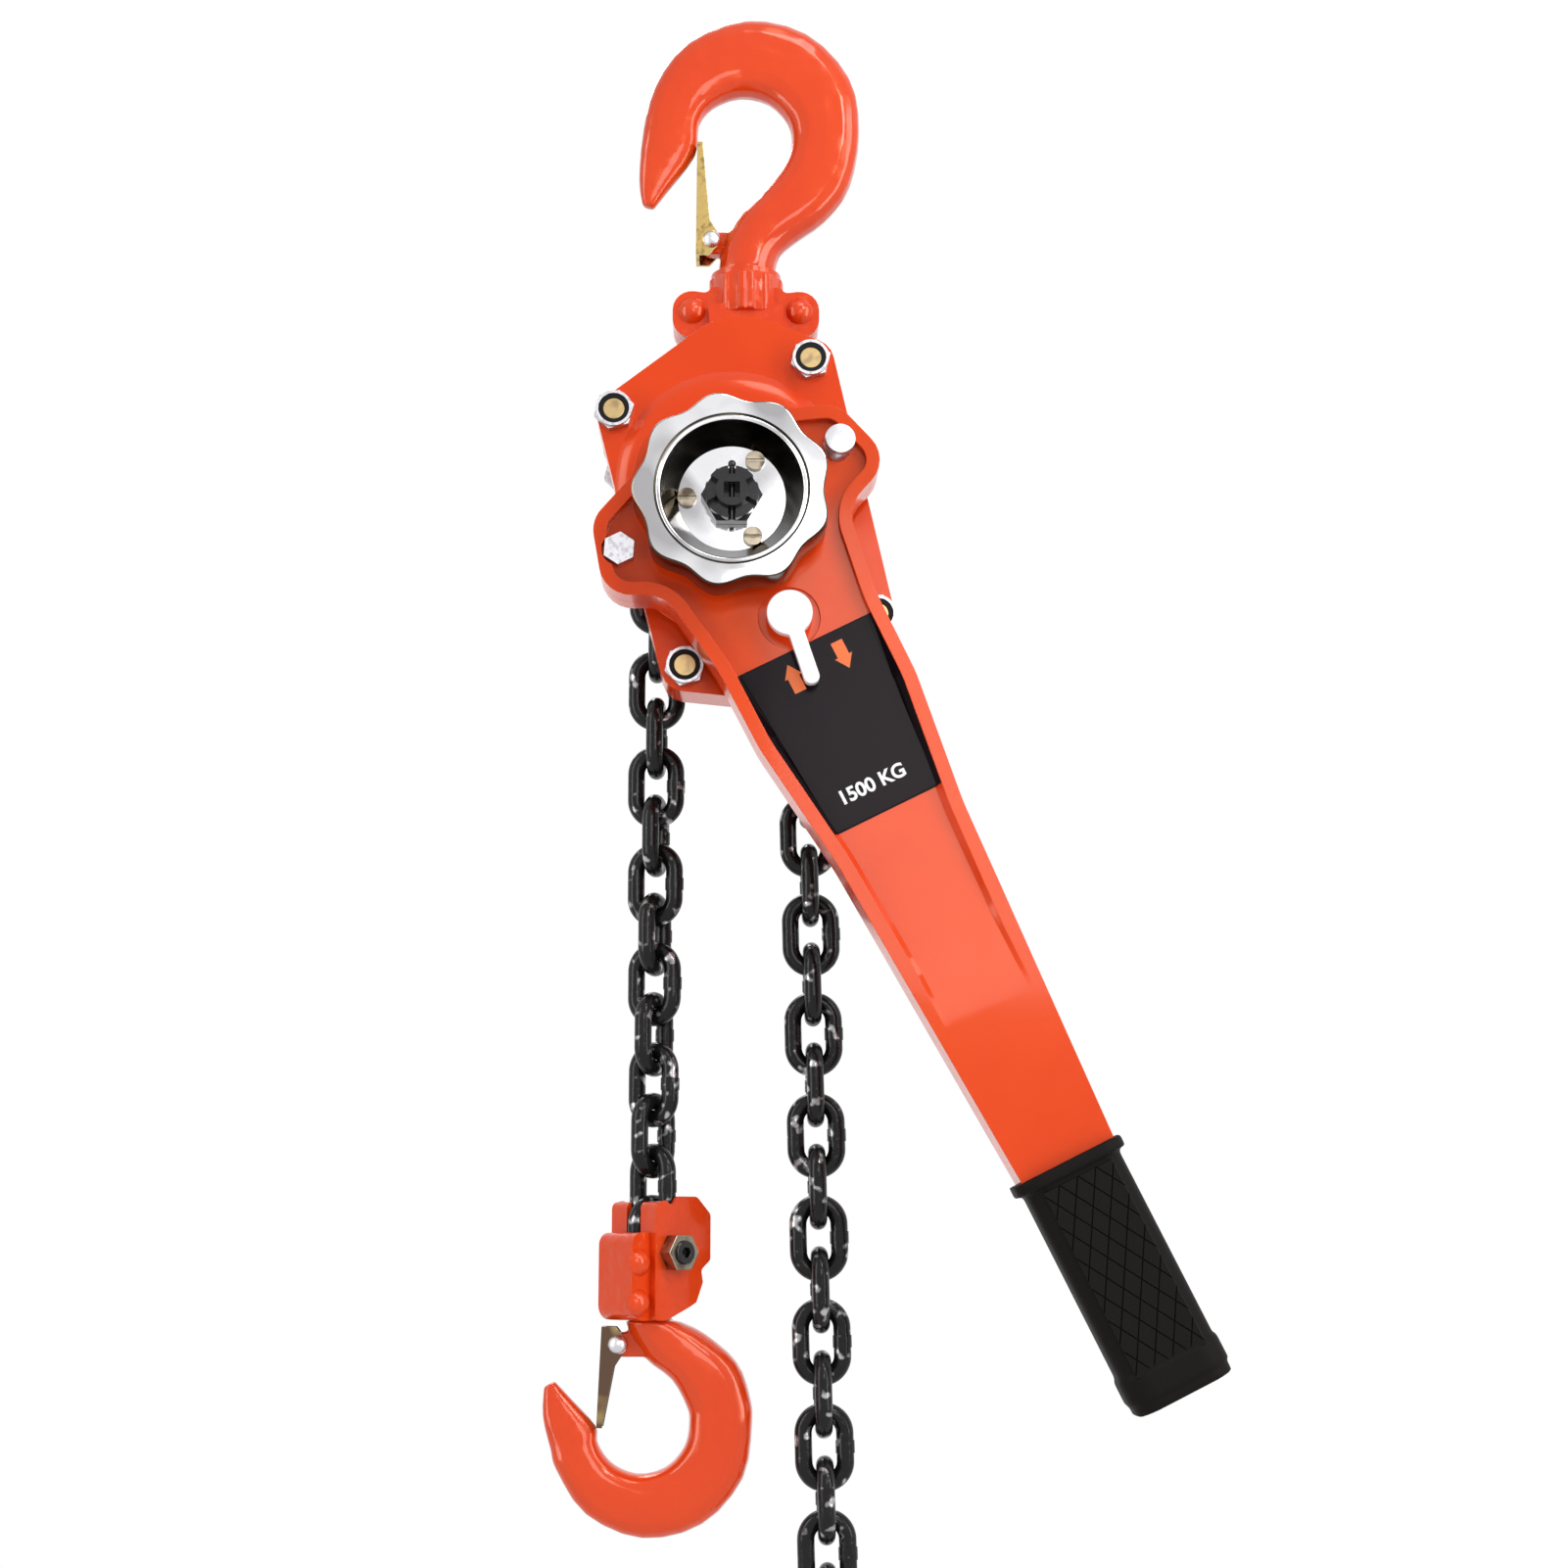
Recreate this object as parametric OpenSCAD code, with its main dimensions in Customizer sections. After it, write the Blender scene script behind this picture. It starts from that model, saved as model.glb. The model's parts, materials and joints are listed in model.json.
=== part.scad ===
// Lever chain hoist, 1 1/2 t.
// X is to the right, Y away from the front, Z up. The origin is the bearing point of the top hook.
// All sizes are in millimetres.

/* [Top hook] */
// Radius of the bowl of the top hook
top_bowl_r = 21; // [18:0.5:24]
// Depth of the section at the back of the top hook
top_back = 30.4; // [26:0.2:32]
// Thickness of the top hook from front to back
top_thick = 21; // [18:0.5:23]
// Radius of the neck of the top hook
top_neck_r = 12.5; // [11.5:0.1:12.8]
// Distance from the bearing point to the end of the neck
top_drop = 84; // [82:0.5:88]

/* [Bottom hook] */
// Radius of the bowl of the bottom hook
low_bowl_r = 19; // [17:0.5:21]
// Depth of the section at the back of the bottom hook
low_back = 26; // [22:0.5:28]
// Thickness of the bottom hook from front to back
low_thick = 20; // [17:0.5:22]
// Radius of the neck of the bottom hook
low_neck_r = 11; // [10:0.1:12]
// Distance from the neck end to the middle of the bottom bowl
low_drop = 41.5; // [40:0.5:46]

/* [Hook shanks and yokes] */
// Radius of the shank of both hooks inside their yokes
shank_r = 8; // [7:0.25:8.5]
// Radius of the button that carries a hook
button_r = 10.6; // [10:0.1:11]
// Radius of the collar of the top yoke
collar_r = 15.2; // [15:0.1:17]
// Distance of a top yoke rivet from the middle
ear_x = 23.3; // [22.5:0.1:25]
// Radius of an ear of the top yoke
ear_r = 8.4; // [7.5:0.1:9]
// Thickness of the top yoke above the frame, both halves
yoke_t = 27; // [26:0.5:27.4]
// Turn of the bottom yoke about the upright
yoke_turn = 42; // [30:1:60]
// Thickness of the bottom yoke, both halves
low_yoke_t = 28; // [26:0.5:32]
// Width of the bottom yoke
low_yoke_w = 39; // [37:0.5:43]

/* [Frame] */
// Width between the stay bolts
bolt_w = 85; // [82:0.5:88]
// Height between the stay bolts
bolt_h = 113; // [108:0.5:118]
// Lean of the frame against the upright
frame_tilt = 15.5; // [13:0.5:17]
// Gap between the side plates
plate_gap = 28; // [28:0.5:30]
// Thickness of a side plate
plate_t = 4; // [3:0.5:5]
// Radius of the top pin
pin_r = 6; // [5:0.25:7]
// Depth of the brake cover in front of the side plate
brake_depth = 22; // [22:0.5:23]
// Depth of the gear cover behind the side plate
gear_depth = 28; // [27:0.5:32]
// Wall of the covers
wall = 2.5; // [2:0.25:3]

/* [Handwheel] */
// Mean radius of the handwheel
wheel_r = 38.2; // [36:0.2:39]
// Number of lobes
lobes = 9; // [8:1:10]
// Height of a lobe above the mean
lobe_h = 1.6; // [0.8:0.2:2]
// Thickness of the handwheel
wheel_t = 19.5; // [17:0.5:21]
// Radius of the hollow at its front edge
hollow_r = 30.3; // [28:0.2:31]
// Radius of the flat floor of the hollow
floor_r = 22.8; // [22:0.2:25]

/* [Lever] */
// Angle of the lever against the hanging position
lever_angle = 26.5; // [0:0.5:80]
// Distance from the shaft to the end of the grip
lever_len = 392; // [370:1:410]
// Distance from the shaft to each clamp bolt
clamp_x = 49; // [48:0.25:50]
// Distance from the shaft to the selector shaft
selector_u = 52; // [51:0.5:54]
// Length of the grip
grip_len = 99; // [90:1:110]
// Width of the grip
grip_w = 41; // [40:0.5:44]
// Thickness of the grip
grip_t = 30; // [28:0.5:32]

/* [Chain] */
// Diameter of the chain wire
wire_d = 7.1; // [6.8:0.05:7.2]
// Inner length of a link
pitch = 21; // [20.9:0.05:21.1]
// Outer width of a link
link_w = 24; // [23.5:0.1:24.4]
// Lean of the tail chain against the upright
tail_lean = 1.4; // [0:0.2:2]

/* [Gears] */
// Module of all gears
gear_m = 1.5; // [1.5:0.01:1.52]
// Width of a gear
gear_w = 8; // [6:0.5:8]

/* [Hidden] */

// Clearances: a running fit, a gap between bodies, a seat within one body
fit = 0.05;
gap = 0.3;
seat = 0.02;
// Facets of a drawn round: rounds stay true rounds in the solids
$fn = 48;

orange = [0.87, 0.22, 0.06];
zinc = [0.75, 0.76, 0.78];
brass = [0.78, 0.62, 0.30];
black = [0.07, 0.07, 0.08];
steel = [0.45, 0.46, 0.48];

// ---- Places in the frame ----
shaft_x = -5.8;
shaft_z = -206.5;
frame_x = 1.1;
frame_z = -202.1;
pin_z = -133;
plate_in = plate_gap / 2;
plate_out = plate_in + plate_t;
cover_front = plate_out + brake_depth;
cover_back = plate_out + gear_depth;
cover_margin = 10;
plate_margin = 8;
plate_rise = 9;
gear_rise = 12;
rear_cut = 12;

// ---- Helpers: outlines ----
function unit(v) = v / norm(v);
function polar(r, a) = [r * cos(a), r * sin(a)];
function arc(c, r, a0, a1, n) = [for (i = [0:n]) c + polar(r, a0 + (a1 - a0) * i / n)];
// One corner of an outline rounded to radius r; a corner with no radius stays a point
function corner(a, b, c, r, n) =
  let (u = unit(a - b), v = unit(c - b), half = acos(u * v) / 2)
  r <= 0 || half > 89.5 ? [b] :
  let (
    centre = b + unit(u + v) * r / sin(half),
    s = b + u * r / tan(half) - centre,
    e = b + v * r / tan(half) - centre,
    a0 = atan2(s[1], s[0]),
    turn = (atan2(e[1], e[0]) - a0 + 540) % 360 - 180
  ) arc(centre, r, a0, a0 + turn, n);
function spot(p) = [p[0], p[1]];
function rounded(p, n = 6) = let (k = len(p)) [
  for (i = [0:k - 1])
    each corner(spot(p[(i + k - 1) % k]), spot(p[i]), spot(p[(i + 1) % k]), p[i][2], n)
];
// Moves every side of a clockwise outline inwards by d, with its corner radii
function side_normal(a, b) = let (u = unit(b - a)) [u[1], -u[0]];
function turns_right(a, b, c) = (b[0] - a[0]) * (c[1] - b[1]) - (b[1] - a[1]) * (c[0] - b[0]) < 0;
function inset(p, d) = let (k = len(p)) [
  for (i = [0:k - 1])
    let (
      a = spot(p[(i + k - 1) % k]), b = spot(p[i]), c = spot(p[(i + 1) % k]),
      n1 = side_normal(a, b), n2 = side_normal(b, c),
      q = b + d * (n1 + n2) / (1 + n1 * n2)
    ) [q[0], q[1], max(0, p[i][2] + (turns_right(a, b, c) ? -d : d))]
];
// An arc that runs clockwise from a0 to a1
function falling_arc(c, r, a0, a1, n) = arc(c, r, a0, a0 - (a0 - a1 + 720) % 360, n);
// Direction of the side that touches two rounds from outside, first one to the left of it
function touch(c1, r1, c2, r2) = let (d = c2 - c1) atan2(d[1], d[0]) + acos((r1 - r2) / norm(d));
// Outline round the four stay bolts, with a crown between the upper and a heel between the lower ones
crown = [12, 54.5];
crown_r = 20;
heel = [0, -50];
heel_r = 21.5;
corner_trim = 2.5;
// rise lifts the heel and cut draws in the corner at the lower left
function cut_corner(cut) = [-bolt_w / 2 + cut / 2, -bolt_h / 2 + cut];
// The lower right stay stands a little further in than the upper one
low_draw = 3;
function frame_outline(m, rise = 0, cut = 0) =
  let (
    x = bolt_w / 2, z = bolt_h / 2, t = m - corner_trim, c = cut_corner(cut),
    top = m + crown_r, low = m + heel_r - rise,
    a1 = touch([-x, z], t, crown, top), a2 = touch(crown, top, [x, z], m),
    r = [x - low_draw, -z],
    a3 = touch([x, z], m, r, t), a4 = touch(r, t, heel, low),
    a5 = touch(heel, low, c, m), a6 = touch(c, m, [-x, z], t)
  )
  concat(
    falling_arc([-x, z], t, a6, a1, 3), falling_arc(crown, top, a1, a2, 8),
    falling_arc([x, z], m, a2, a3, 3), falling_arc(r, t, a3, a4, 3),
    falling_arc(heel, low, a4, a5, 8), falling_arc(c, m, a5, a6, 3)
  );

// ---- Helpers: placing ----
module along_y(y0, y1) {
  translate([0, y1, 0])
    rotate([90, 0, 0])
      linear_extrude(y1 - y0)
        children();
}
module rod_y(r, y0, y1, at = [0, 0]) {
  translate([at[0], y1, at[1]])
    rotate([90, 0, 0])
      cylinder(r = r, h = y1 - y0);
}
module ring_y(r_out, r_in, y0, y1, at = [0, 0]) {
  difference() {
    rod_y(r_out, y0, y1, at);
    rod_y(r_in, y0 - 1, y1 + 1, at);
  }
}
module at_frame() {
  translate([frame_x, 0, frame_z])
    rotate([0, -frame_tilt, 0])
      children();
}
module at_shaft() {
  translate([shaft_x, 0, shaft_z])
    children();
}
module at_lever() {
  at_shaft()
    rotate([0, -lever_angle, 0])
      children();
}
// Places of the stays: three go through, the last one is short and clears the load chain
function places_at(cut) = [
  [-bolt_w / 2, bolt_h / 2], [bolt_w / 2, bolt_h / 2], [bolt_w / 2 - low_draw, -bolt_h / 2], cut_corner(cut)
];
front_places = places_at(0);
rear_places = places_at(rear_cut);
short_stay = 3;
module hex_y(r, y0, y1, at = [0, 0]) {
  translate([at[0], y1, at[1]])
    rotate([90, 0, 0])
      cylinder(r = r, h = y1 - y0, $fn = 6);
}
// A rivet head: part of a ball on a flat seat, facing -Y
module dome_y(r, h, y, at = [0, 0]) {
  ball_r = (r * r + h * h) / (2 * h);
  intersection() {
    translate([at[0], y + ball_r - h, at[1]])
      sphere(r = ball_r);
    rod_y(r + 1, y - h - 1, y, at);
  }
}

// ---- Hooks ----
// Stations from the tip to the neck, for a hook that opens to the left with its neck below:
// inner x, inner z, outer x, outer z in bowl radii from the middle of the bowl, share of the thickness
top_tip = [
  [-1.88, -1.52, -2.12, -1.45, 0.28], [-1.60, -1.14, -2.20, -0.90, 0.46], [-1.02, -0.33, -2.13, 0.18, 0.68]
];
top_neck = [
  [0.82, -0.60, 2.22, -1.02, 1], [0.42, -1.12, 1.72, -1.74, 1.02],
  [-0.05, -1.62, 1.12, -2.20, 1.05], [-0.42, -2.3, 0.76, -2.54, 1.1]
];
low_tip = [
  [-1.87, -0.92, -2.10, -0.80, 0.28], [-1.50, -0.54, -2.12, -0.18, 0.48], [-0.97, 0.02, -1.94, 0.52, 0.68]
];
low_neck = [
  [0.94, -0.38, 2.30, -0.62, 1], [0.62, -0.94, 2.02, -1.32, 1], [0.02, -1.42, 1.32, -1.92, 1.02]
];
top_back_at = [4.5, 9];
low_back_at = [4, 3.5];
top_bowl_x = -1;
low_bowl_x = -3.5;
function on_bowl(r, back, at, a, share) =
  let (p = polar(r, a), q = at + polar(r + back - at[0], a))
  [p[0], p[1], q[0], q[1], share];
function in_radii(list, r) = [for (s = list) [s[0] * r, s[1] * r, s[2] * r, s[3] * r, s[4]]];
function hook_stations(r, back, at, tip, neck) = concat(
  in_radii(tip, r),
  [for (k = [[160, 0.80], [130, 0.92], [95, 1], [60, 1], [25, 1], [-6, 1]])
    on_bowl(r, back, at, k[0], k[1])],
  in_radii(neck, r)
);
// Smooth curve through the stations
function blend(a, b, c, d, t) =
  0.5 * (2 * b + (c - a) * t + (2 * a - 5 * b + 4 * c - d) * t * t + (3 * b - a - 3 * c + d) * t * t * t);
function smooth(s, steps) = let (k = len(s)) concat(
  [for (i = [0:k - 2], j = [0:steps - 1])
    blend(s[max(0, i - 1)], s[i], s[i + 1], s[min(k - 1, i + 2)], j / steps)],
  [s[k - 1]]
);
ring_n = 16;
hook_steps = 3;
// Ring of one station: flat flanks with full, round edges
function hook_ring(s, full, thick) =
  let (
    mid = [s[0] + s[2], s[1] + s[3]] / 2,
    arm = [s[2] - s[0], s[3] - s[1]] / 2,
    t = s[4] * thick / 2
  )
  [for (i = [0:ring_n - 1])
    let (
      a = 360 * i / ring_n,
      e = full,
      u = sign(cos(a)) * pow(abs(cos(a)), e),
      w = sign(sin(a)) * pow(abs(sin(a)), e)
    ) [mid[0] + arm[0] * u, t * w, mid[1] + arm[1] * u]];
module hook_sweep(stations, thick, neck_x, drop, neck_r) {
  st = concat(stations, [[neck_x - neck_r, -drop, neck_x + neck_r, -drop, 2 * neck_r / thick]]);
  fine = smooth(st, hook_steps);
  k = len(fine);
  // the section turns into a true round towards the neck
  points = [for (i = [0:k - 1]) each hook_ring(fine[i], 1 - 0.28 * min(1, 3 * (k - 1 - i) / k), thick)];
  sides = [for (i = [0:k - 2], j = [0:ring_n - 1])
    let (a = i * ring_n + j, b = i * ring_n + (j + 1) % ring_n)
      each [[a, b, b + ring_n], [a, b + ring_n, a + ring_n]]];
  caps = concat(
    [for (j = [1:ring_n - 2]) [0, j + 1, j]],
    [for (j = [1:ring_n - 2]) let (o = (k - 1) * ring_n) [o, o + j, o + j + 1]]
  );
  polyhedron(points = points, faces = concat(sides, caps));
}
lug_t = 8;
lug_r = 5;
top_lug = [-15, 14.5];
low_lug = [-13.5, 9.5];
rivet_r = 2;
button_t = 5;
top_shank = 25;
low_shank = 11.5;
// A whole hook with its neck end at the origin and its bowl above, shank and button below
module hook(stations, thick, bowl_x, drop, neck_r, lug, shank) {
  difference() {
    union() {
      translate([bowl_x, 0, drop])
        hook_sweep(stations, thick, -bowl_x, drop, neck_r);
      along_y(-lug_t / 2, lug_t / 2)
        polygon(concat(arc(lug, lug_r, 90, 270, 10), [[0, lug[1] - lug_r], [0, lug[1] + lug_r]]));
      translate([0, 0, -shank])
        cylinder(r = shank_r, h = shank + 1);
      translate([0, 0, -shank])
        cylinder(r = button_r, h = button_t);
    }
    rod_y(rivet_r + fit, -thick, thick, lug);
  }
}

// ---- Latches ----
latch_w = 15;
latch_wall = 1.5;
latch_back = lug_r + 0.3;
latch_foot = 7;
// A folded channel from its rivet up to the inside of the hook's tip
module latch(lug, reach, lean) {
  half = latch_w / 2;
  left = -latch_back - latch_wall;
  translate([lug[0], 0, lug[1]])
    rotate([0, -lean, 0])
      difference() {
        union() {
          translate([left, -half, -latch_foot])
            cube([latch_wall, latch_w, reach + latch_foot]);
          for (y = [-half, half - latch_wall])
            along_y(y, y + latch_wall)
              polygon([
                [left, -latch_foot], [-1, -latch_foot], [2.6, -3], [2.6, 3], [-1, 9],
                [-latch_back + 0.8, reach], [left, reach]
              ]);
        }
        rod_y(rivet_r + fit, -latch_w, latch_w);
      }
}
module latch_rivet(lug) {
  half = latch_w / 2 + 0.2;
  rod_y(rivet_r, -half - 0.5, half + 0.5, lug);
  dome_y(3.9, 2.6, -half, lug);
  mirror([0, 1, 0])
    dome_y(3.9, 2.6, -half, lug);
}
// A spring about Y as one tube: its middle line has straight ends one wire diameter long
curl_rings = 8;
wire_sides = 6;
function coil_point(r, y, a) = [r * cos(a), y, r * sin(a)];
function coil_line(r, wire, y0, length, turns) =
  let (
    n = turns * curl_rings,
    on = [for (i = [0:n]) coil_point(r, y0 + length * i / n, 360 * i / curl_rings)]
  )
  concat(
    [on[0] + 2 * wire * unit(on[0] - on[1])],
    on,
    [on[n] + 2 * wire * unit(on[n] - on[n - 1])]
  );
// Least clear distance between turns, measured between points at least half a turn apart
function least_gap(line, wire) = let (k = len(line), half = curl_rings / 2 + 1)
  min([for (i = [0:k - 1 - half], j = [i + half:k - 1]) norm(line[i] - line[j])]) - 2 * wire;
module coil(r, wire, y0, length, turns) {
  line = coil_line(r, wire, y0, length, turns);
  k = len(line);
  angles = [for (i = [0:k - 1]) 360 * min(max(i - 1, 0), k - 3) / curl_rings];
  points = [for (i = [0:k - 1], j = [0:wire_sides - 1])
    let (b = 360 * j / wire_sides)
      line[i] + wire * (cos(b) * [cos(angles[i]), 0, sin(angles[i])] + [0, sin(b), 0])];
  tube = [for (i = [0:k - 2], j = [0:wire_sides - 1])
    let (a = i * wire_sides + j, b = i * wire_sides + (j + 1) % wire_sides)
      each [[a, b + wire_sides, b], [a, a + wire_sides, b + wire_sides]]];
  last = (k - 1) * wire_sides;
  caps = concat(
    [for (j = [1:wire_sides - 2]) [0, j, j + 1]],
    [for (j = [1:wire_sides - 2]) [last, last + j + 1, last + j]]
  );
  echo(str("least gap between turns: ", least_gap(line, wire), " mm"));
  polyhedron(points = points, faces = concat(tube, caps));
}
latch_spring_wire = 0.3;
latch_spring_len = 1.05;
latch_spring_r = rivet_r + 0.7;
module latch_spring(lug) {
  translate([lug[0], 0, lug[1]])
    coil(latch_spring_r, latch_spring_wire, lug_t / 2 + latch_spring_wire + 0.15, latch_spring_len, 1);
}

// ---- Top hook and its yoke ----
module at_top_neck() {
  translate([0, 0, -top_drop])
    children();
}
top_latch_reach = 45;
top_latch_lean = -0.35;
module top_hook() {
  color(orange)
    at_top_neck()
      hook(hook_stations(top_bowl_r, top_back, top_back_at, top_tip, top_neck),
        top_thick, top_bowl_x, top_drop - top_bowl_r, top_neck_r, top_lug, top_shank);
}
module top_latch_rivet() {
  color(zinc)
    at_top_neck()
      latch_rivet(top_lug);
}
module top_latch() {
  color(brass)
    at_top_neck()
      latch(top_lug, top_latch_reach, top_latch_lean);
}
module top_latch_spring() {
  color(steel)
    at_top_neck()
      latch_spring(top_lug);
}
yoke_clear = 0.5;
// Hollow of a yoke for the button and the shank of its hook, with the neck end at the origin
module hook_seat(shank) {
  translate([0, 0, -shank])
    cylinder(r = shank_r + fit, h = 2 * shank);
  translate([0, 0, -shank - yoke_clear])
    cylinder(r = button_r + yoke_clear, h = button_t + 2 * yoke_clear);
}
ear_z = -103;
ear_t = 19;
yoke_top = -top_drop - gap;
body_w = 18.5;
tongue_r = 12.4;
tongue_t = plate_gap - 3;
body_end = -112.5;
ear_end = -116;
module top_yoke_solid() {
  big = 100;
  difference() {
    union() {
      translate([0, 0, ear_z])
        cylinder(r = collar_r, h = yoke_top - ear_z);
      along_y(-ear_t / 2, ear_t / 2)
        polygon(rounded([
          [-collar_r, yoke_top - 8, 2], [collar_r, yoke_top - 8, 2], [collar_r + 1, ear_z + 8, 3],
          [ear_x + ear_r, ear_z + 10, ear_r], [ear_x + ear_r, ear_z - 11, ear_r], [body_w, ear_end, 4],
          [-body_w, ear_end, 4], [-ear_x - ear_r, ear_z - 11, ear_r], [-ear_x - ear_r, ear_z + 10, ear_r],
          [-collar_r - 1, ear_z + 8, 3]
        ]));
      along_y(-yoke_t / 2, yoke_t / 2)
        polygon(rounded([
          [-body_w + 2, ear_z + 2, 2], [body_w - 2, ear_z + 2, 2], [body_w - 3, body_end, 2],
          [-body_w + 3, body_end, 2]
        ]));
      along_y(-tongue_t / 2, tongue_t / 2)
        polygon(rounded([
          [-body_w + 3, body_end + 1, 1], [body_w - 3, body_end + 1, 1], [tongue_r, pin_z + 3, 6],
          [tongue_r, pin_z - tongue_r, tongue_r], [-tongue_r, pin_z - tongue_r, tongue_r],
          [-tongue_r, pin_z + 3, 6]
        ]));
    }
    at_top_neck()
      hook_seat(top_shank);
    rod_y(pin_r + fit, -big, big, [0, pin_z]);
    for (s = [-1, 1])
      rod_y(ear_rivet_r + seat, -big, big, [s * ear_x, ear_z]);
  }
}
ear_rivet_r = 4;
module front_half() {
  intersection() {
    children();
    translate([-100, -100, -200])
      cube([200, 100, 200]);
  }
}
module rear_half() {
  intersection() {
    children();
    translate([-100, 0, -200])
      cube([200, 100, 200]);
  }
}
module top_yoke_front() {
  color(orange)
    front_half()
      top_yoke_solid();
}
module top_yoke_rear() {
  color(orange)
    rear_half()
      top_yoke_solid();
}
module rivet_pair(t, r, head_r, head_h, at) {
  rod_y(r, -t / 2 - 0.5, t / 2 + 0.5, at);
  dome_y(head_r, head_h, -t / 2, at);
  mirror([0, 1, 0])
    dome_y(head_r, head_h, -t / 2, at);
}
module top_yoke_rivets() {
  color(orange)
    for (s = [-1, 1])
      rivet_pair(ear_t, ear_rivet_r, 6, 3.6, [s * ear_x, ear_z]);
}

// ---- Frame ----
bearing_r = 20;
disc_offset = gear_m * 21;
disc_dir = 90 + frame_tilt;
journal_r = 5;
boss_r = 9;
disc_places = [for (s = [0, 180]) polar(disc_offset, disc_dir + s)];
module stay_holes(places, r, y0, y1) {
  at_frame()
    for (p = places)
      rod_y(r, y0, y1, p);
}
module side_plate(y0, cut, disc_holes) {
  difference() {
    at_frame() {
      along_y(y0, y0 + plate_t)
        polygon(frame_outline(plate_margin, plate_rise, cut));
    }
    stay_holes(places_at(cut), stay_r + seat, y0 - 1, y0 + plate_t + 1);
    rod_y(pin_r + seat, y0 - 1, y0 + plate_t + 1, [0, pin_z]);
    at_shaft() {
      rod_y(bearing_r + seat, y0 - 1, y0 + plate_t + 1);
      if (disc_holes)
        for (p = disc_places)
          rod_y(journal_r + fit, y0 - 1, y0 + plate_t + 1, p);
      if (!disc_holes)
        for (p = pawl_places)
          rod_y(pawl_pin_r + seat, y0 - 1, y0 + plate_t + 1, p);
    }
  }
}
module side_plate_front() {
  color(orange)
    side_plate(-plate_out, 0, false);
}
module side_plate_rear() {
  color(orange)
    side_plate(plate_in, rear_cut, true);
}
stay_r = 4.5;
stay_shoulder_r = 7;
nut_h = 6;
nut_r = 8.6;
nut_collar_r = 7.6;
stay_end = 0.8;
module stay_bolts() {
  front = -cover_front - nut_h + stay_end;
  back = cover_back + nut_h - stay_end;
  color(brass)
    at_frame() {
      for (i = [0:short_stay - 1]) {
        rod_y(stay_r, front, back, front_places[i]);
        rod_y(stay_shoulder_r, -plate_in, plate_in, front_places[i]);
      }
      rod_y(stay_r, front, -plate_in, front_places[short_stay]);
      rod_y(stay_r, plate_in, back, rear_places[short_stay]);
    }
}
insert_r = 6.4;
insert_h = 1.6;
insert_front = -cover_front - nut_h + 0.3;
module lock_nut(p) {
  difference() {
    union() {
      hex_y(nut_r, -cover_front - nut_h + 2, -cover_front, p);
      rod_y(nut_collar_r, -cover_front - nut_h, -cover_front - nut_h + 2, p);
    }
    rod_y(stay_r + seat, -cover_front - nut_h - 1, -cover_front + 1, p);
    rod_y(insert_r, -cover_front - nut_h - 1, -cover_front - nut_h + insert_h, p);
  }
}
module rear_nut(p) {
  difference() {
    hex_y(nut_r, cover_back, cover_back + nut_h, p);
    rod_y(stay_r + seat, cover_back - 1, cover_back + nut_h + 1, p);
  }
}
module stay_nuts() {
  color(zinc)
    at_frame() {
      for (p = front_places)
        lock_nut(p);
      for (p = rear_places)
        rear_nut(p);
    }
}
module nut_inserts() {
  color(black)
    at_frame()
      for (p = front_places)
        ring_y(insert_r - seat, stay_r + 2 * seat, insert_front, insert_front + insert_h - 0.3, p);
}
module top_pin() {
  color(steel) {
    rod_y(pin_r, -plate_out - 1, plate_out + 1, [0, pin_z]);
    rod_y(pin_r + 2.5, -plate_out - 2.5, -plate_out, [0, pin_z]);
    rod_y(pin_r + 2.5, plate_out, plate_out + 2.5, [0, pin_z]);
  }
}

// ---- Chain ----
half_wire = wire_d / 2;
bend_r = (link_w - wire_d) / 2;
wire_mid = (pitch + wire_d) / 2;
link_side = wire_mid - bend_r;
play = 0.15;
step = pitch - play;
weld_h = 5;
weld_r = half_wire + 0.35;
chain_r = (wire_mid * cos(18) - (wire_d + play) / 2) / sin(18);
left_x = shaft_x - chain_r;
right_x = shaft_x + chain_r;
// One link about the origin, long along Z and flat in the XZ plane
module link() {
  for (s = [0, 1])
    mirror([0, 0, s])
      translate([0, 0, link_side])
        rotate([90, 0, 0])
          rotate_extrude(angle = 180)
            translate([bend_r, 0])
              circle(r = half_wire);
  for (s = [-1, 1])
    translate([s * bend_r, 0, -link_side])
      cylinder(r = half_wire, h = 2 * link_side);
  translate([bend_r, 0, -weld_h / 2])
    cylinder(r = weld_r, h = weld_h);
}
// Links first to last of a strand that hangs down from shaft height; every other one is turned
module hanging(first, last, offset, twist) {
  for (i = [first:last])
    translate([0, 0, -step * i])
      rotate([0, 0, 90 * ((i + offset) % 2) + twist * max(0, i - inside_n)])
        link();
}
// Links inside the frame on each side of the sheave
inside_n = 3;
load_n = 14;
load_split = 8;
tail_n = 21;
tail_split = [9, 15];
exit_z = shaft_z - step * inside_n;
// The links turn bit by bit until the last one is square to the anchor bolt
link_twist = (yoke_turn - 90) / (load_n - inside_n);
module load_strand(first, last) {
  translate([left_x, 0, shaft_z])
    hanging(first, last, 1, link_twist);
}
tail_pivot_z = exit_z - wire_mid;
module tail_strand(first, last) {
  translate([right_x, 0, tail_pivot_z])
    rotate([0, -tail_lean, 0])
      translate([0, 0, shaft_z - tail_pivot_z])
        hanging(first, last, 0, 0);
}
module chain_wrap() {
  color(black) {
    at_shaft()
      for (i = [0:5])
        rotate([0, -180 + 36 * i, 0])
          translate([chain_r, 0, 0])
            rotate([0, 0, 90 * ((i + 1) % 2)])
              link();
    translate([left_x, 0, shaft_z])
      hanging(1, inside_n, 1, 0);
    translate([right_x, 0, shaft_z])
      hanging(1, inside_n, 0, 0);
  }
}
module load_chain_upper() {
  color(black)
    load_strand(inside_n + 1, load_split);
}
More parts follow.
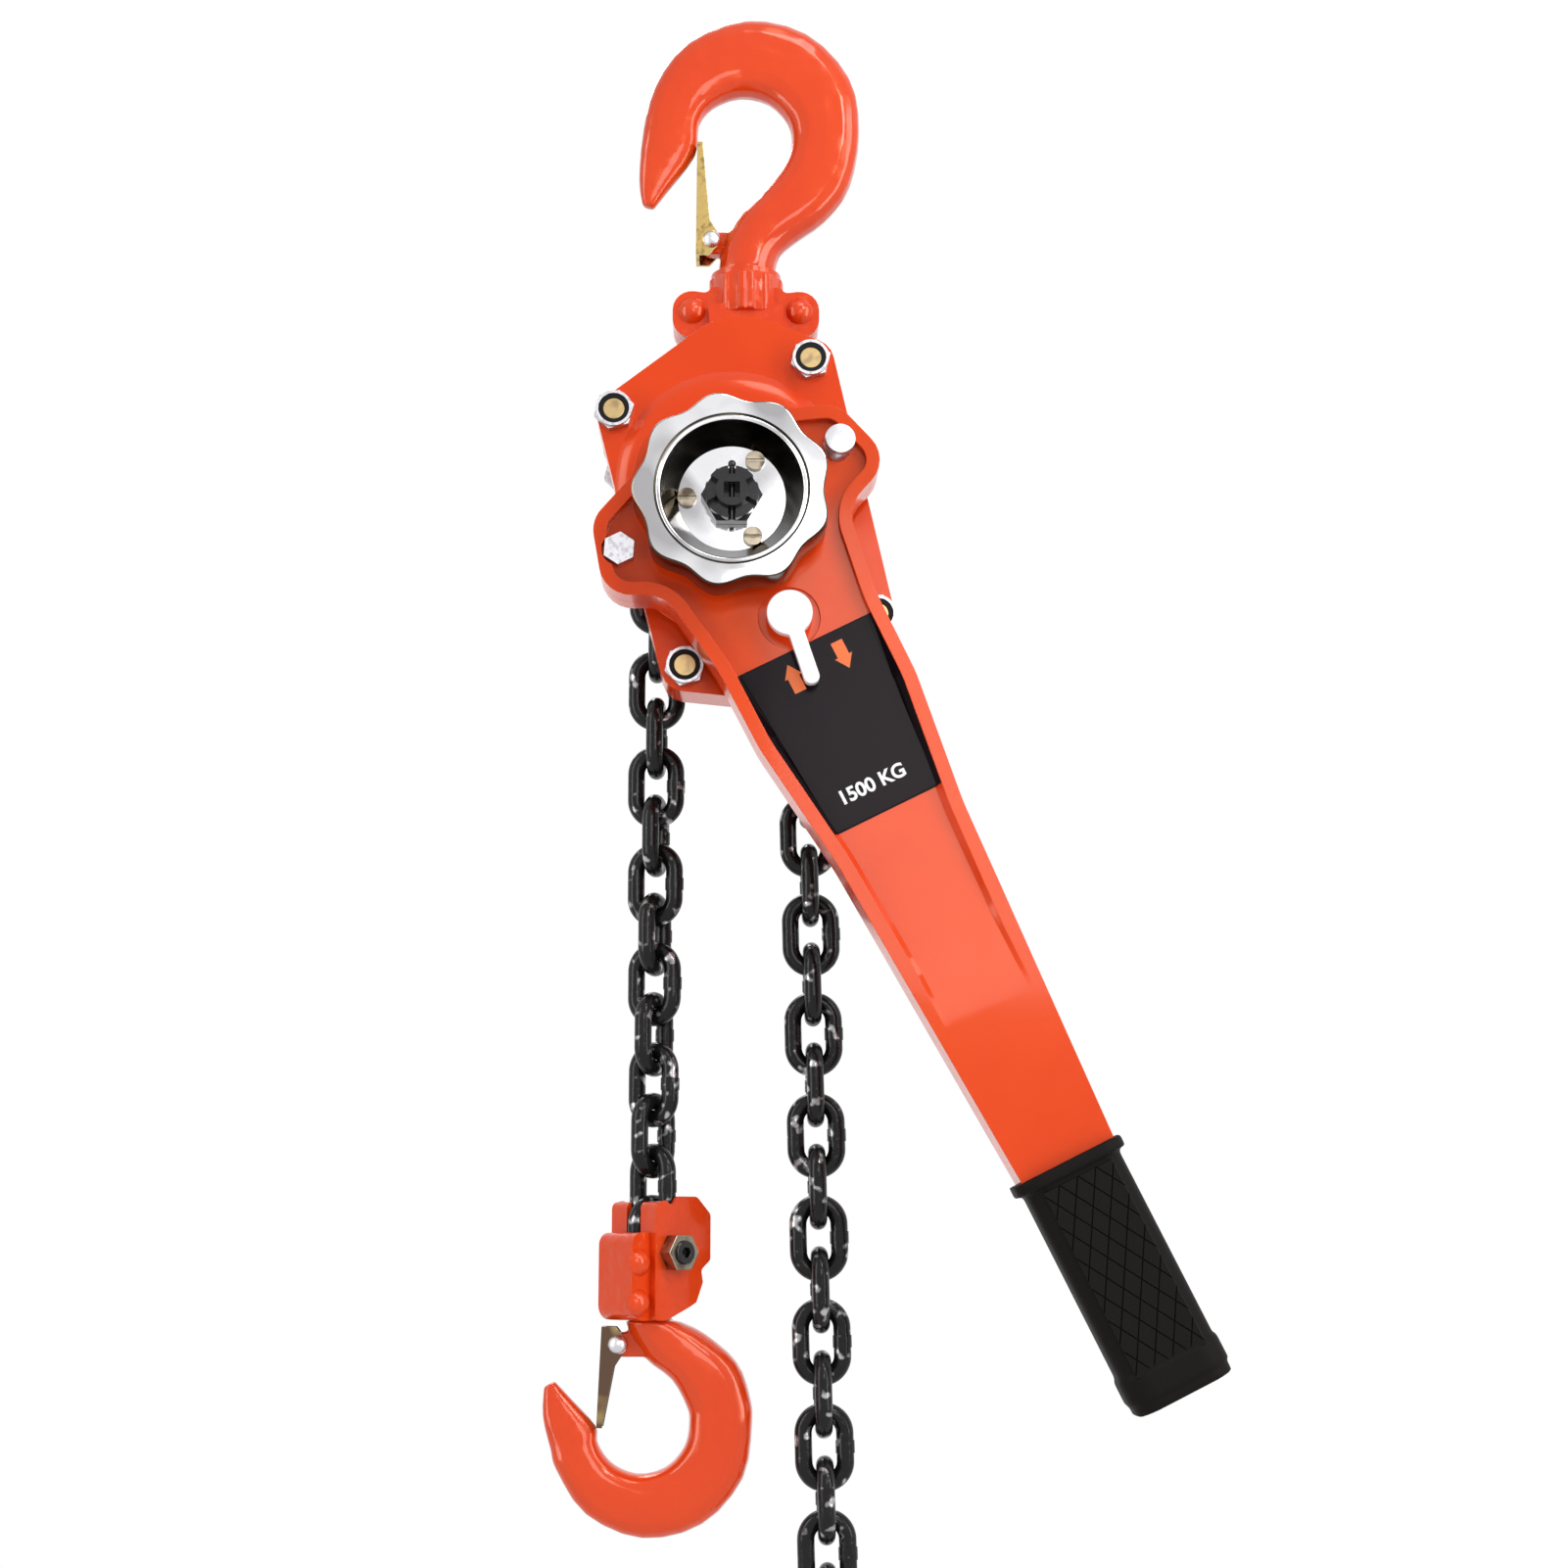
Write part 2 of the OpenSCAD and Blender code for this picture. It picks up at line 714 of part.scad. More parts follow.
module load_chain_lower() {
  color(black)
    load_strand(load_split + 1, load_n);
}
module tail_chain_upper() {
  color(black)
    tail_strand(inside_n + 1, tail_split[0]);
}
module tail_chain_middle() {
  color(black)
    tail_strand(tail_split[0] + 1, tail_split[1]);
}
module tail_chain_lower() {
  color(black)
    tail_strand(tail_split[1] + 1, tail_n);
}
end_ring_r = 11;
module chain_end_stop() {
  color(zinc)
    translate([right_x, 0, tail_pivot_z])
      rotate([0, -tail_lean, 0])
        translate([0, 0, shaft_z - tail_pivot_z - step * tail_n - wire_mid + wire_d + play - end_ring_r])
          rotate([0, 0, 90 * ((tail_n + 1) % 2)])
            rotate([90, 0, 0])
              rotate_extrude()
                translate([end_ring_r, 0])
                  circle(r = half_wire);
}

// ---- Chain guides and stripper ----
guide_r = chain_r + link_w / 2 + 2.5;
module chain_guides() {
  color(steel)
    for (a = [[100, 150], [-16, 64]])
      at_shaft()
        along_y(-plate_in, plate_in)
          polygon(concat(
            arc([0, 0], guide_r, a[0], a[1], 12),
            arc([0, 0], guide_r + 5, a[1], a[0], 12)
          ));
}
module chain_stripper() {
  color(steel)
    at_shaft() {
      along_y(-plate_in, plate_in)
        polygon(rounded([[-12, -52, 3], [-9, -42, 3], [9, -42, 3], [12, -52, 3], [8, -66, 3], [-8, -66, 3]]));
      along_y(-3.2, 3.2)
        polygon([[-8, -43], [-5, -22], [5, -22], [8, -43]]);
    }
}

// ---- Load sheave and gears ----
sheave_t = 26;
sheave_r = 37.5;
groove_half = 4.4;
// Wider throat above the pocket floors, for the link that swings out of its pocket
throat_half = 7.4;
groove_r = chain_r - link_w / 2 - 1.2;
pocket_floor = chain_r - weld_r - play;
pocket_half = wire_mid + half_wire + 0.5;
pocket_side = link_w / 2 + 0.7;
journal_big_r = 16;
gear_seat_r = 13;
shaft_r = 8;
gear_y = plate_out + 1;
gear_y2 = gear_y + gear_w + 1;
module load_sheave() {
  color(steel)
    at_shaft()
      difference() {
        union() {
          rod_y(sheave_r, -sheave_t / 2, sheave_t / 2);
          rod_y(journal_big_r, -plate_out, plate_out);
          rod_y(gear_seat_r, plate_out - 0.5, gear_y + gear_w);
        }
        ring_y(sheave_r + 5, groove_r, -groove_half, groove_half);
        ring_y(sheave_r + 5, pocket_floor, -throat_half, throat_half);
        for (i = [0:4])
          rotate([0, -180 + 72 * i, 0])
            translate([pocket_floor, 0, 0]) {
              translate([0, -pocket_side, -pocket_half + pocket_side])
                cube([30, 2 * pocket_side, 2 * (pocket_half - pocket_side)]);
              for (s = [-1, 1])
                translate([0, 0, s * (pocket_half - pocket_side)])
                  rotate([0, 90, 0])
                    cylinder(r = pocket_side, h = 30);
            }
        rod_y(shaft_r + fit, -50, 50);
      }
}
module sheave_bearings() {
  color(zinc)
    at_shaft()
      for (s = [0, 1])
        mirror([0, s, 0])
          ring_y(bearing_r, journal_big_r + fit, sheave_t / 2 + gap, plate_out);
}
// Involute gear outline; one tooth stands at the angle start
pressure = 25;
thin = 0.06;
function inv(a) = tan(a) * 180 / PI - a;
function half_tooth(z, r) =
  let (rp = gear_m * z / 2)
  90 / z - thin / rp * 180 / PI + inv(pressure) - inv(acos(min(1, rp * cos(pressure) / r)));
function gear_outline(z, start) =
  let (
    rp = gear_m * z / 2,
    root = rp - 1.25 * gear_m,
    tip = rp + 0.95 * gear_m,
    base = max(root + 0.05, rp * cos(pressure)),
    n = 4
  )
  [for (i = [0:z - 1])
    let (c = start + 360 * i / z) each concat(
      [polar(root, c - half_tooth(z, base))],
      [for (k = [0:n]) let (r = base + (tip - base) * k / n) polar(r, c - half_tooth(z, r))],
      [for (k = [n:-1:0]) let (r = base + (tip - base) * k / n) polar(r, c + half_tooth(z, r))],
      [polar(root, c + half_tooth(z, base))]
    )];
load_z = 28;
disc_small_z = 14;
disc_z = 30;
pinion_z = 12;
module load_gear() {
  color(steel)
    at_shaft()
      difference() {
        along_y(gear_y, gear_y + gear_w)
          polygon(gear_outline(load_z, disc_dir));
        rod_y(gear_seat_r + seat, gear_y - 1, gear_y + gear_w + 1);
      }
}
module disc_gear(k) {
  facing = disc_dir + 180 * k + 180;
  color(steel)
    at_shaft()
      translate([disc_places[k][0], 0, disc_places[k][1]]) {
        along_y(gear_y, gear_y2)
          polygon(gear_outline(disc_small_z, facing + 180 / disc_small_z));
        along_y(gear_y2, gear_y2 + gear_w)
          polygon(gear_outline(disc_z, facing + 180 / disc_z));
        rod_y(journal_r, plate_in + 0.5, gear_y);
        rod_y(journal_r, gear_y2 + gear_w, cover_back - wall - 0.5);
      }
}
module disc_gear_a() {
  disc_gear(0);
}
module disc_gear_b() {
  disc_gear(1);
}
shaft_end = cover_front + 49;
square_half = 3.2;
nut_front = shaft_end - 3;
pin_y = nut_front - 2.2;
thread_r = 6.5;
module pinion_shaft() {
  color(steel)
    at_shaft()
      difference() {
        union() {
          rod_y(shaft_r, -cover_front - 33, gear_y2);
          rod_y(thread_r, -shaft_end, -cover_front - 33);
          along_y(gear_y2 + gap, gear_y2 + gear_w)
            polygon(gear_outline(pinion_z, disc_dir));
          rod_y(6, gear_y2 - 1, gear_y2 + 1);
          rod_y(journal_r, gear_y2 + gear_w, cover_back - wall - 0.5);
        }
        translate([-square_half, -shaft_end - 1, -square_half])
          cube([2 * square_half, 9, 2 * square_half]);
        translate([0, -pin_y, -thread_r - 5])
          cylinder(r = 1.3, h = 30);
      }
}

// ---- Covers ----
neck_in = 23.5;
neck_out = 26;
neck_y = cover_front + 10;
dome_r = 49;
dome_h = 4;
module dome_solid() {
  at_shaft()
    translate([0, -cover_front + 1, 0])
      rotate([90, 0, 0])
        rotate_extrude()
          polygon([[0, 0], [dome_r, 0], [dome_r - 1, 1.2], [dome_r - 7, dome_h + 1], [0, dome_h + 1]]);
}
module brake_cover() {
  color(orange)
    difference() {
      union() {
        at_frame()
          along_y(-cover_front, -plate_out)
            polygon(frame_outline(cover_margin));
        intersection() {
          dome_solid();
          at_frame()
            along_y(-cover_front - 20, 0)
              polygon(frame_outline(cover_margin - 1));
        }
        at_shaft()
          rod_y(neck_out, -neck_y, -cover_front);
      }
      difference() {
        at_frame()
          along_y(-cover_front + wall, -plate_out + 1)
            polygon(frame_outline(cover_margin - wall));
        at_frame()
          for (p = front_places)
            rod_y(stay_shoulder_r, -cover_front, 0, p);
      }
      at_shaft() {
        rod_y(dome_r - 9, -cover_front - dome_h + wall, -cover_front + wall + 0.1);
        rod_y(neck_in, -neck_y - 1, -plate_out);
      }
      stay_holes(front_places, stay_r + seat, -cover_front - 1, 0);
    }
}
gear_boss_r = 6;
module gear_cover() {
  color(orange)
    difference() {
      at_frame()
        along_y(plate_out, cover_back)
          polygon(frame_outline(plate_margin, gear_rise, rear_cut));
      difference() {
        at_frame()
          along_y(plate_out - 1, cover_back - wall)
            polygon(frame_outline(plate_margin - wall, gear_rise, rear_cut));
        at_frame()
          for (p = rear_places)
            rod_y(gear_boss_r, plate_out - 2, cover_back, p);
        at_shaft() {
          for (p = concat(disc_places, [[0, 0]]))
            rod_y(boss_r, gear_y2 + gear_w + gap, cover_back, p);
        }
      }
      stay_holes(rear_places, stay_r + seat, plate_out - 1, cover_back + 1);
      at_shaft()
        for (p = concat(disc_places, [[0, 0]]))
          rod_y(journal_r + fit, plate_out, cover_back - wall, p);
    }
}

// ---- Brake ----
brake_y = plate_out + 1.5;
hub_t = 4.5;
lining_t = 2.5;
ratchet_t = 5;
brake_r = 30;
hub_r = 13;
turn_gap = 0.1;
lining_1 = brake_y + hub_t;
ratchet_y = lining_1 + lining_t + turn_gap;
lining_2 = ratchet_y + ratchet_t + turn_gap;
press_y = lining_2 + lining_t + turn_gap;
press_t = 4;
module brake_hub() {
  color(steel)
    at_shaft()
      difference() {
        union() {
          rod_y(brake_r, -lining_1, -brake_y);
          rod_y(hub_r, -press_y - press_t, -lining_1 + 1);
        }
        rod_y(shaft_r + seat, -100, 0);
      }
}
module friction_discs() {
  color([0.35, 0.30, 0.24])
    at_shaft() {
      ring_y(brake_r - 1, hub_r + seat, -lining_1 - lining_t, -lining_1);
      ring_y(brake_r - 1, hub_r + seat, -lining_2 - lining_t, -lining_2);
    }
}
teeth_n = 12;
ratchet_out = 35;
ratchet_in = 30.5;
pawl_dirs = [52, 262];
pawl_lead = 34;
pawl_dist = 43;
pawl_pin_r = 3;
pawl_places = [for (a = pawl_dirs) polar(pawl_dist, a)];
// Saw teeth: from each steep face the outline falls off to the foot of the next one
function saw(start) = [for (i = [0:teeth_n - 1])
  let (a = start + 360 * i / teeth_n) each [polar(ratchet_in, a), polar(ratchet_out, a),
    polar(ratchet_out - 1.2, a + 12)]];
module ratchet_disc() {
  color(steel)
    at_shaft()
      difference() {
        along_y(-ratchet_y - ratchet_t, -ratchet_y)
          polygon(saw(pawl_dirs[0] + pawl_lead));
        rod_y(hub_r + fit, -ratchet_y - ratchet_t - 1, -ratchet_y + 1);
      }
}
pawl_boss_r = 6;
module pawl(k) {
  a = pawl_dirs[k];
  face = a + pawl_lead;
  c = pawl_places[k];
  color(steel)
    at_shaft()
      difference() {
        union() {
          rod_y(pawl_boss_r, -ratchet_y - ratchet_t, -ratchet_y, c);
          along_y(-ratchet_y - ratchet_t, -ratchet_y)
            polygon([
              c + polar(pawl_boss_r - 0.5, a + 170), c + polar(3, a + 130),
              polar(ratchet_in + 2.5, face - 5), polar(ratchet_in + 0.6, face - 0.7),
              polar(ratchet_in + 4.3, face - 0.7), c + polar(pawl_boss_r, a + 40)
            ]);
        }
        rod_y(pawl_pin_r + fit, -ratchet_y - ratchet_t - 1, -ratchet_y + 1, c);
      }
}
module pawl_a() {
  pawl(0);
}
module pawl_b() {
  pawl(1);
}
module pawl_pins() {
  color(zinc)
    at_shaft()
      for (c = pawl_places) {
        rod_y(pawl_pin_r, -lining_2 - 4, -plate_in, c);
        rod_y(pawl_pin_r + 2, -ratchet_y + gap, -plate_out, c);
      }
}
module pawl_springs() {
  color(steel)
    at_shaft()
      for (c = pawl_places)
        translate([c[0], 0, c[1]])
          coil(pawl_pin_r + 0.9, 0.55, -ratchet_y - ratchet_t - 2.8, 1.8, 1);
}

// ---- Handwheel and change gear ----
wheel_stand = 31.5;
wheel_back = cover_front + wheel_stand;
wheel_front = wheel_back + wheel_t;
floor_t = 4.5;
change_r = 21;
change_teeth_r = 23;
gear_front = cover_front + 23;
gear_back = cover_front + 12;
change_n = 16;
screw_place_r = 18;
screw_dirs = [59, 180, 298];
function lobe_outline() = [for (a = [0:5:355]) polar(wheel_r + lobe_h * cos(lobes * (a - 20)), a)];
module handwheel() {
  color(zinc)
    at_shaft()
      difference() {
        along_y(-wheel_front, -wheel_back)
          polygon(lobe_outline());
        translate([0, -wheel_back - floor_t, 0])
          rotate([90, 0, 0])
            cylinder(r1 = floor_r, r2 = hollow_r, h = wheel_t - floor_t + 0.01);
        rod_y(shaft_r + 0.5, -wheel_front, -wheel_back + 1);
        for (a = screw_dirs)
          rod_y(2.5 + seat, -wheel_front, -wheel_back + 1, polar(screw_place_r, a));
      }
}
// Square teeth round the change gear
function cog(n, r_in, r_out) = [for (i = [0:n - 1])
  let (a = 360 * i / n, w = 90 / n) each [polar(r_in, a - w - 2), polar(r_out, a - w + 2),
    polar(r_out, a + w - 2), polar(r_in, a + w + 2)]];
module change_gear() {
  color(steel)
    at_shaft()
      difference() {
        union() {
          rod_y(brake_r - 1, -press_y - press_t, -press_y);
          rod_y(change_r, -wheel_back, -press_y - 1);
          along_y(-gear_front, -gear_back)
            polygon(cog(change_n, change_r - 1, change_teeth_r));
        }
        rod_y(hub_r + fit, -press_y - press_t - gap, 0);
        rod_y(shaft_r + fit, -wheel_back - 1, 0);
        for (a = screw_dirs)
          rod_y(2.5 + seat, -wheel_back - 1, -wheel_back + 9, polar(screw_place_r, a));
      }
}
module handwheel_screws() {
  color(zinc)
    at_shaft()
      for (a = screw_dirs) {
        p = polar(screw_place_r, a);
        difference() {
          union() {
            rod_y(2.5, -wheel_back - floor_t, -wheel_back + 8, p);
            rod_y(3.9, -wheel_back - floor_t - 2, -wheel_back - floor_t, p);
          }
          translate([p[0] - 5, -wheel_back - floor_t - 3, p[1] - 0.5])
            cube([10, 1.9, 1]);
        }
      }
}
castle_r = 12.4;
module castle_nut() {
  color(black)
    at_shaft()
      difference() {
        union() {
          hex_y(castle_r, -nut_front + 4.5, -wheel_back - floor_t - gap);
          rod_y(castle_r - 1.6, -nut_front, -nut_front + 5);
        }
        rod_y(thread_r + seat, -nut_front - 1, -wheel_back);
        for (i = [0:2])
          rotate([0, 60 * i, 0])
            translate([-1.5, -nut_front - 1, -castle_r])
              cube([3, 5, 2 * castle_r]);
      }
}
module split_pin() {
  color(zinc)
    at_shaft()
      translate([0, -pin_y, -castle_r + 1]) {
        cylinder(r = 1.1, h = 2 * castle_r - 2);
        translate([0, 0, 2 * castle_r - 1.5])
          sphere(r = 1.6);
      }
}

// ---- Lever ----
lever_back = cover_front + 7;
lever_part = cover_front + 18;
lever_front = cover_front + 30;
rim_w = 5.5;
rim_h = 4;
shell_end = lever_len - 12;
// Under the grip's collar the lever steps in to a narrower tang
tang_from = lever_len - grip_len + 0.5;
tang_w = 20.1;
tang_step = 3.5;
tang_shoulder = 3.6;
// Right side of the lever's outline from the top to the distance u, with corner radii;
// ear is the reach of the lobe round its clamp bolt
function lever_side(u, w, ear) = concat(
  [
    [20, 42, 20], [31, 28, 10], [clamp_x + ear - 9, 18.5, 13], [clamp_x + ear, -12, 13], [41, -22, 16],
    [35.5, -60, 90], [35, -95, 60], [28, -150, 120], [25, -200, 200]
  ],
  u > tang_from ? [[tang_w, -tang_from, 1], [tang_w - tang_shoulder, -tang_from - tang_step, 1]] : [],
  [[w, -u, u > tang_from ? 4 : 10]]
);
right_ear = 17;
left_ear = 14;
function reversed(p) = [for (i = [len(p) - 1:-1:0]) p[i]];
function flipped(p) = [for (q = p) [-q[0], q[1], q[2]]];
function lever_path(u, w) =
  concat(lever_side(u, w, right_ear), reversed(flipped(lever_side(u, w, left_ear))));
recess_u = 242;
recess_w = 24.7;
module lever_block(y0, y1, d, u, w) {
  along_y(-y1, -y0)
    polygon(rounded(inset(lever_path(u, w), d)));
}
clamp_z = 3;
clamp_r = 4;
post_r = 7;
clamp_places = [[clamp_x, clamp_z], [-clamp_x, clamp_z]];
shell_w = 15.5;
// The detent: a sprung plunger in a guide behind the changeover pawl
cog_mid = (gear_front + gear_back) / 2;
pawl_boss = 9;
plunger_u = selector_u + pawl_boss + gap;
plunger_len = 13;
detent_r = 3;
guide_w = 9;
guide_len = 29;
module lever_rear_shell() {
  color(orange)
    at_lever()
      difference() {
        lever_block(lever_back, lever_part, 0, shell_end, shell_w);
        difference() {
          lever_block(lever_back + wall, lever_part + 1, wall, shell_end, shell_w);
          for (p = clamp_places)
            rod_y(post_r, -lever_part - 1, -lever_back, p);
          translate([-guide_w / 2, -cog_mid - guide_w / 2, -plunger_u - guide_len])
            cube([guide_w, guide_w + cog_mid - lever_back, guide_len - 3]);
        }
        translate([0, -cog_mid, -plunger_u - guide_len + wall])
          cylinder(r = detent_r + gap, h = guide_len);
        rod_y(neck_out + fit, -lever_part - 1, -lever_back + 1);
        for (p = clamp_places)
          rod_y(clamp_r + seat, -lever_part - 1, -lever_back - 1.2, p);
      }
}
dimple_r = 12.5;
knob_shaft_r = 4;
bolt_head_r = 6.8;
bolt_head_h = 4.6;
module lever_front_shell() {
  floor_y = lever_front - rim_h;
  color(orange)
    at_lever()
      difference() {
        lever_block(lever_part, lever_front, 0, shell_end, shell_w);
        difference() {
          lever_block(lever_part - 1, floor_y - wall, wall, shell_end, shell_w);
          for (p = clamp_places)
            rod_y(post_r, -lever_front, -lever_part, p);
        }
        lever_block(floor_y, lever_front + 1, rim_w, recess_u, recess_w);
        rod_y(change_r + 1.2, -lever_front - 1, -lever_part + 2);
        rod_y(knob_shaft_r + fit, -lever_front, -lever_part, [0, -selector_u]);
        for (p = clamp_places) {
          rod_y(clamp_r + seat, -lever_front, -lever_part + 1, p);
          rod_y(bolt_head_r + gap, -lever_front - 1, -floor_y, p);
        }
        rod_y(dimple_r, -floor_y - 1, -floor_y + 1, [0, -selector_u]);
      }
}
module lever_bolts() {
  head_y = lever_front - rim_h;
  color(zinc)
    at_lever() {
      for (p = clamp_places)
        rod_y(clamp_r, -head_y, -lever_back - 1.4, p);
      dome_y(6, bolt_head_h, -head_y, clamp_places[0]);
      hex_y(bolt_head_r, -head_y - bolt_head_h, -head_y, clamp_places[1]);
    }
}
label_top = 65;
label_end = 139;
module label_plate() {
  floor_y = lever_front - rim_h;
  color(black)
    at_lever()
      along_y(-floor_y - 0.8, -floor_y)
        polygon(rounded([
          [-28.4, -label_top, 1], [28.4, -label_top, 1], [22.5, -label_end, 1], [-22.5, -label_end, 1]
        ]));
}
collar_t = 5;
module grip_block(u0, u1, w, t, r) {
  h = w / 2;
  k = t / 2;
  mid = (lever_back + lever_front) / 2;
  translate([0, -mid, -u1])
    linear_extrude(u1 - u0)
      polygon(rounded([[-h, k, r], [h, k, r], [h, -k, r], [-h, -k, r]]));
}
module grip() {
  mid_u = lever_len - grip_len;
  color(black)
    at_lever()
      difference() {
        union() {
          grip_block(mid_u, lever_len, grip_w, grip_t, 10);
          grip_block(mid_u, mid_u + collar_t, grip_w + 6, grip_t + 4, 11);
          grip_block(lever_len - 3 * collar_t, lever_len - collar_t, grip_w + 2, grip_t + 2, 11);
        }
        along_y(-lever_front - seat, -lever_back + seat)
          polygon(rounded(inset(lever_path(shell_end, shell_w), -seat)));
      }
}
// Changeover pawl, its shaft with the selector knob, and the detent that holds it
knob_y = lever_front + 1;
knob_t = 5;
knob_r = 9.2;
pointer_end = 82.5;
pointer_w = 6.4;
// Turn of the selector from its neutral place
selector_turn = 8;
module at_selector() {
  at_lever()
    translate([0, 0, -selector_u])
      rotate([0, selector_turn, 0])
        children();
}
module selector_knob() {
  far = selector_u - pointer_end;
  color(zinc)
    at_selector() {
      rod_y(knob_shaft_r, -knob_y - 1, -lever_part + 6);
      rod_y(knob_r, -knob_y - knob_t, -knob_y);
      along_y(-knob_y - knob_t, -knob_y)
        polygon(rounded([
          [-pointer_w / 2, 0, 0], [pointer_w / 2, 0, 0],
          [pointer_w / 2, far, 3.1], [-pointer_w / 2, far, 3.1]
        ]));
    }
}
tip_len = 28.4;
tip_angle = 24;
pawl_t = 8;
module changeover_pawl() {
  mid = cog_mid;
  color(steel)
    at_selector()
      difference() {
        union() {
          rod_y(pawl_boss, -mid - pawl_t / 2, -mid + pawl_t / 2);
          along_y(-mid - pawl_t / 2, -mid + pawl_t / 2)
            polygon([
              polar(8, 180), polar(tip_len - 4, 90 + tip_angle + 12), polar(tip_len, 90 + tip_angle),
              polar(tip_len - 6, 90 + tip_angle - 8), polar(14, 90), polar(tip_len - 6, 90 - tip_angle + 8),
              polar(tip_len, 90 - tip_angle), polar(tip_len - 4, 90 - tip_angle - 12), polar(8, 0)
            ]);
        }
        rod_y(knob_shaft_r + seat, -100, 0);
      }
}
module detent_plunger() {
  color(steel)
    at_lever()
      translate([0, -cog_mid, -plunger_u - plunger_len])
        cylinder(r = detent_r, h = plunger_len);
}
spring_len = guide_len - wall - plunger_len - 1.3;
module detent_spring() {
  color(steel)
    at_lever()
      translate([0, -cog_mid, -plunger_u - plunger_len - 0.75])
        rotate([90, 0, 0])
          coil(detent_r - 0.5, 0.45, -spring_len, spring_len, 5);
}

// ---- Bottom yoke, anchor bolt and bottom hook ----
low_end = -27;
last_z = shaft_z - step * load_n;
anchor_r = 4.6;
anchor_z = last_z - pitch / 2 + anchor_r + play;
low_neck_z = anchor_z + low_end - gap;
module at_low_neck() {
  translate([left_x, 0, low_neck_z])
    rotate([180, 0, 0])
      children();
}
low_latch_reach = 33;
low_latch_lean = 2.4;
// The yoke in its own frame: the anchor bolt at the origin, before its turn
module at_low_yoke() {
  translate([left_x, 0, anchor_z])
    rotate([0, 0, yoke_turn])
      children();
}
low_half_w = low_yoke_w / 2;
flange_x = -10;
flange_t = low_yoke_t - 7;
low_rivet_x = (flange_x - low_half_w) / 2 - 0.6;
low_rivet_z = [-4, -20];
low_rivet_r = 3;
slot_half = link_w / 2 + 1.6;
slot_t = wire_d + 1.6;
slot_end = -13;
// Room above the anchor bolt for the link that hangs in the last one
room_half = wire_d / 2 + 4;
room_y = link_w / 2 + 0.6;
room_z = 8.2;
module low_yoke_solid() {
  big = 100;
  difference() {
    at_low_yoke()
      union() {
        along_y(-low_yoke_t / 2, low_yoke_t / 2)
          polygon(rounded([
            [flange_x, 20, 3], [-4, 21, 2], [-2, 17, 2], [1, 22.5, 2], [12, 22.5, 3], [low_half_w, 15.5, 3],
            [low_half_w, -3, 2], [low_half_w - 5, -7, 2], [low_half_w - 4, -12, 2], [12, -20, 2],
            [8, -22, 3], [-4, low_end, 3], [flange_x, low_end, 2]
          ]));
        along_y(-flange_t / 2, flange_t / 2)
          polygon(rounded([
            [-low_half_w, 8, 5], [flange_x + 4, 8, 1], [flange_x + 4, low_end, 1], [-low_half_w, low_end, 6]
          ]));
      }
    at_low_neck()
      hook_seat(low_shank);
    at_low_yoke() {
      translate([-slot_half, -slot_t / 2, slot_end])
        cube([2 * slot_half, slot_t, big]);
      translate([-room_half, -room_y, room_z])
        cube([2 * room_half, 2 * room_y, big]);
      rod_y(anchor_r + fit, -big, big);
      for (z = low_rivet_z)
        rod_y(low_rivet_r + seat, -big, big, [low_rivet_x, z]);
    }
  }
}
module low_yoke_half(s) {
  intersection() {
    low_yoke_solid();
    at_low_yoke()
      translate([-50, s > 0 ? 0 : -50, -50])
        cube([100, 50, 100]);
  }
}
module bottom_yoke_front() {
  color(orange)
    low_yoke_half(-1);
}
module bottom_yoke_rear() {
  color(orange)
    low_yoke_half(1);
}
module bottom_yoke_rivets() {
  color(orange)
    at_low_yoke()
      for (z = low_rivet_z)
        rivet_pair(flange_t, low_rivet_r, 4, 2.6, [low_rivet_x, z]);
}
module anchor_bolt() {
  color(black)
    at_low_yoke()
      difference() {
        union() {
          rod_y(anchor_r, -low_yoke_t / 2 - 7.5, low_yoke_t / 2 + 0.5);
          rod_y(7.5, low_yoke_t / 2, low_yoke_t / 2 + 5);
        }
        hex_y(2.3, -low_yoke_t / 2 - 9, -low_yoke_t / 2 - 4.5);
      }
}
module anchor_nut() {
  color(zinc)
    at_low_yoke()
      difference() {
        hex_y(8, -low_yoke_t / 2 - 6.2, -low_yoke_t / 2);
        rod_y(anchor_r + seat, -low_yoke_t / 2 - 7, 0);
      }
}
module bottom_hook() {
  color(orange)
    at_low_neck()
      hook(hook_stations(low_bowl_r, low_back, low_back_at, low_tip, low_neck),
        low_thick, low_bowl_x, low_drop, low_neck_r, low_lug, low_shank);
}
module bottom_latch_rivet() {
  color(zinc)
    at_low_neck()
      latch_rivet(low_lug);
}
module bottom_latch() {
  color(brass)
    at_low_neck()
      latch(low_lug, low_latch_reach, low_latch_lean);
}
module bottom_latch_spring() {
  color(steel)
    at_low_neck()
      latch_spring(low_lug);
}

top_hook();
top_latch_rivet();
top_latch();
top_latch_spring();
top_yoke_front();
top_yoke_rear();
top_yoke_rivets();
side_plate_front();
side_plate_rear();
stay_bolts();
stay_nuts();
nut_inserts();
top_pin();
chain_guides();
chain_stripper();
sheave_bearings();
brake_cover();
gear_cover();
pawl_pins();
pawl_springs();
chain_wrap();
load_sheave();
load_gear();
disc_gear_a();
disc_gear_b();
pinion_shaft();
brake_hub();
friction_discs();
castle_nut();
split_pin();
ratchet_disc();
pawl_a();
pawl_b();
handwheel();
change_gear();
handwheel_screws();
lever_rear_shell();
lever_front_shell();
lever_bolts();
label_plate();
grip();
detent_plunger();
detent_spring();
selector_knob();
changeover_pawl();
load_chain_upper();
load_chain_lower();
bottom_yoke_front();
bottom_yoke_rear();
bottom_yoke_rivets();
anchor_bolt();
anchor_nut();
bottom_hook();
bottom_latch_rivet();
bottom_latch();
bottom_latch_spring();
tail_chain_upper();
tail_chain_middle();
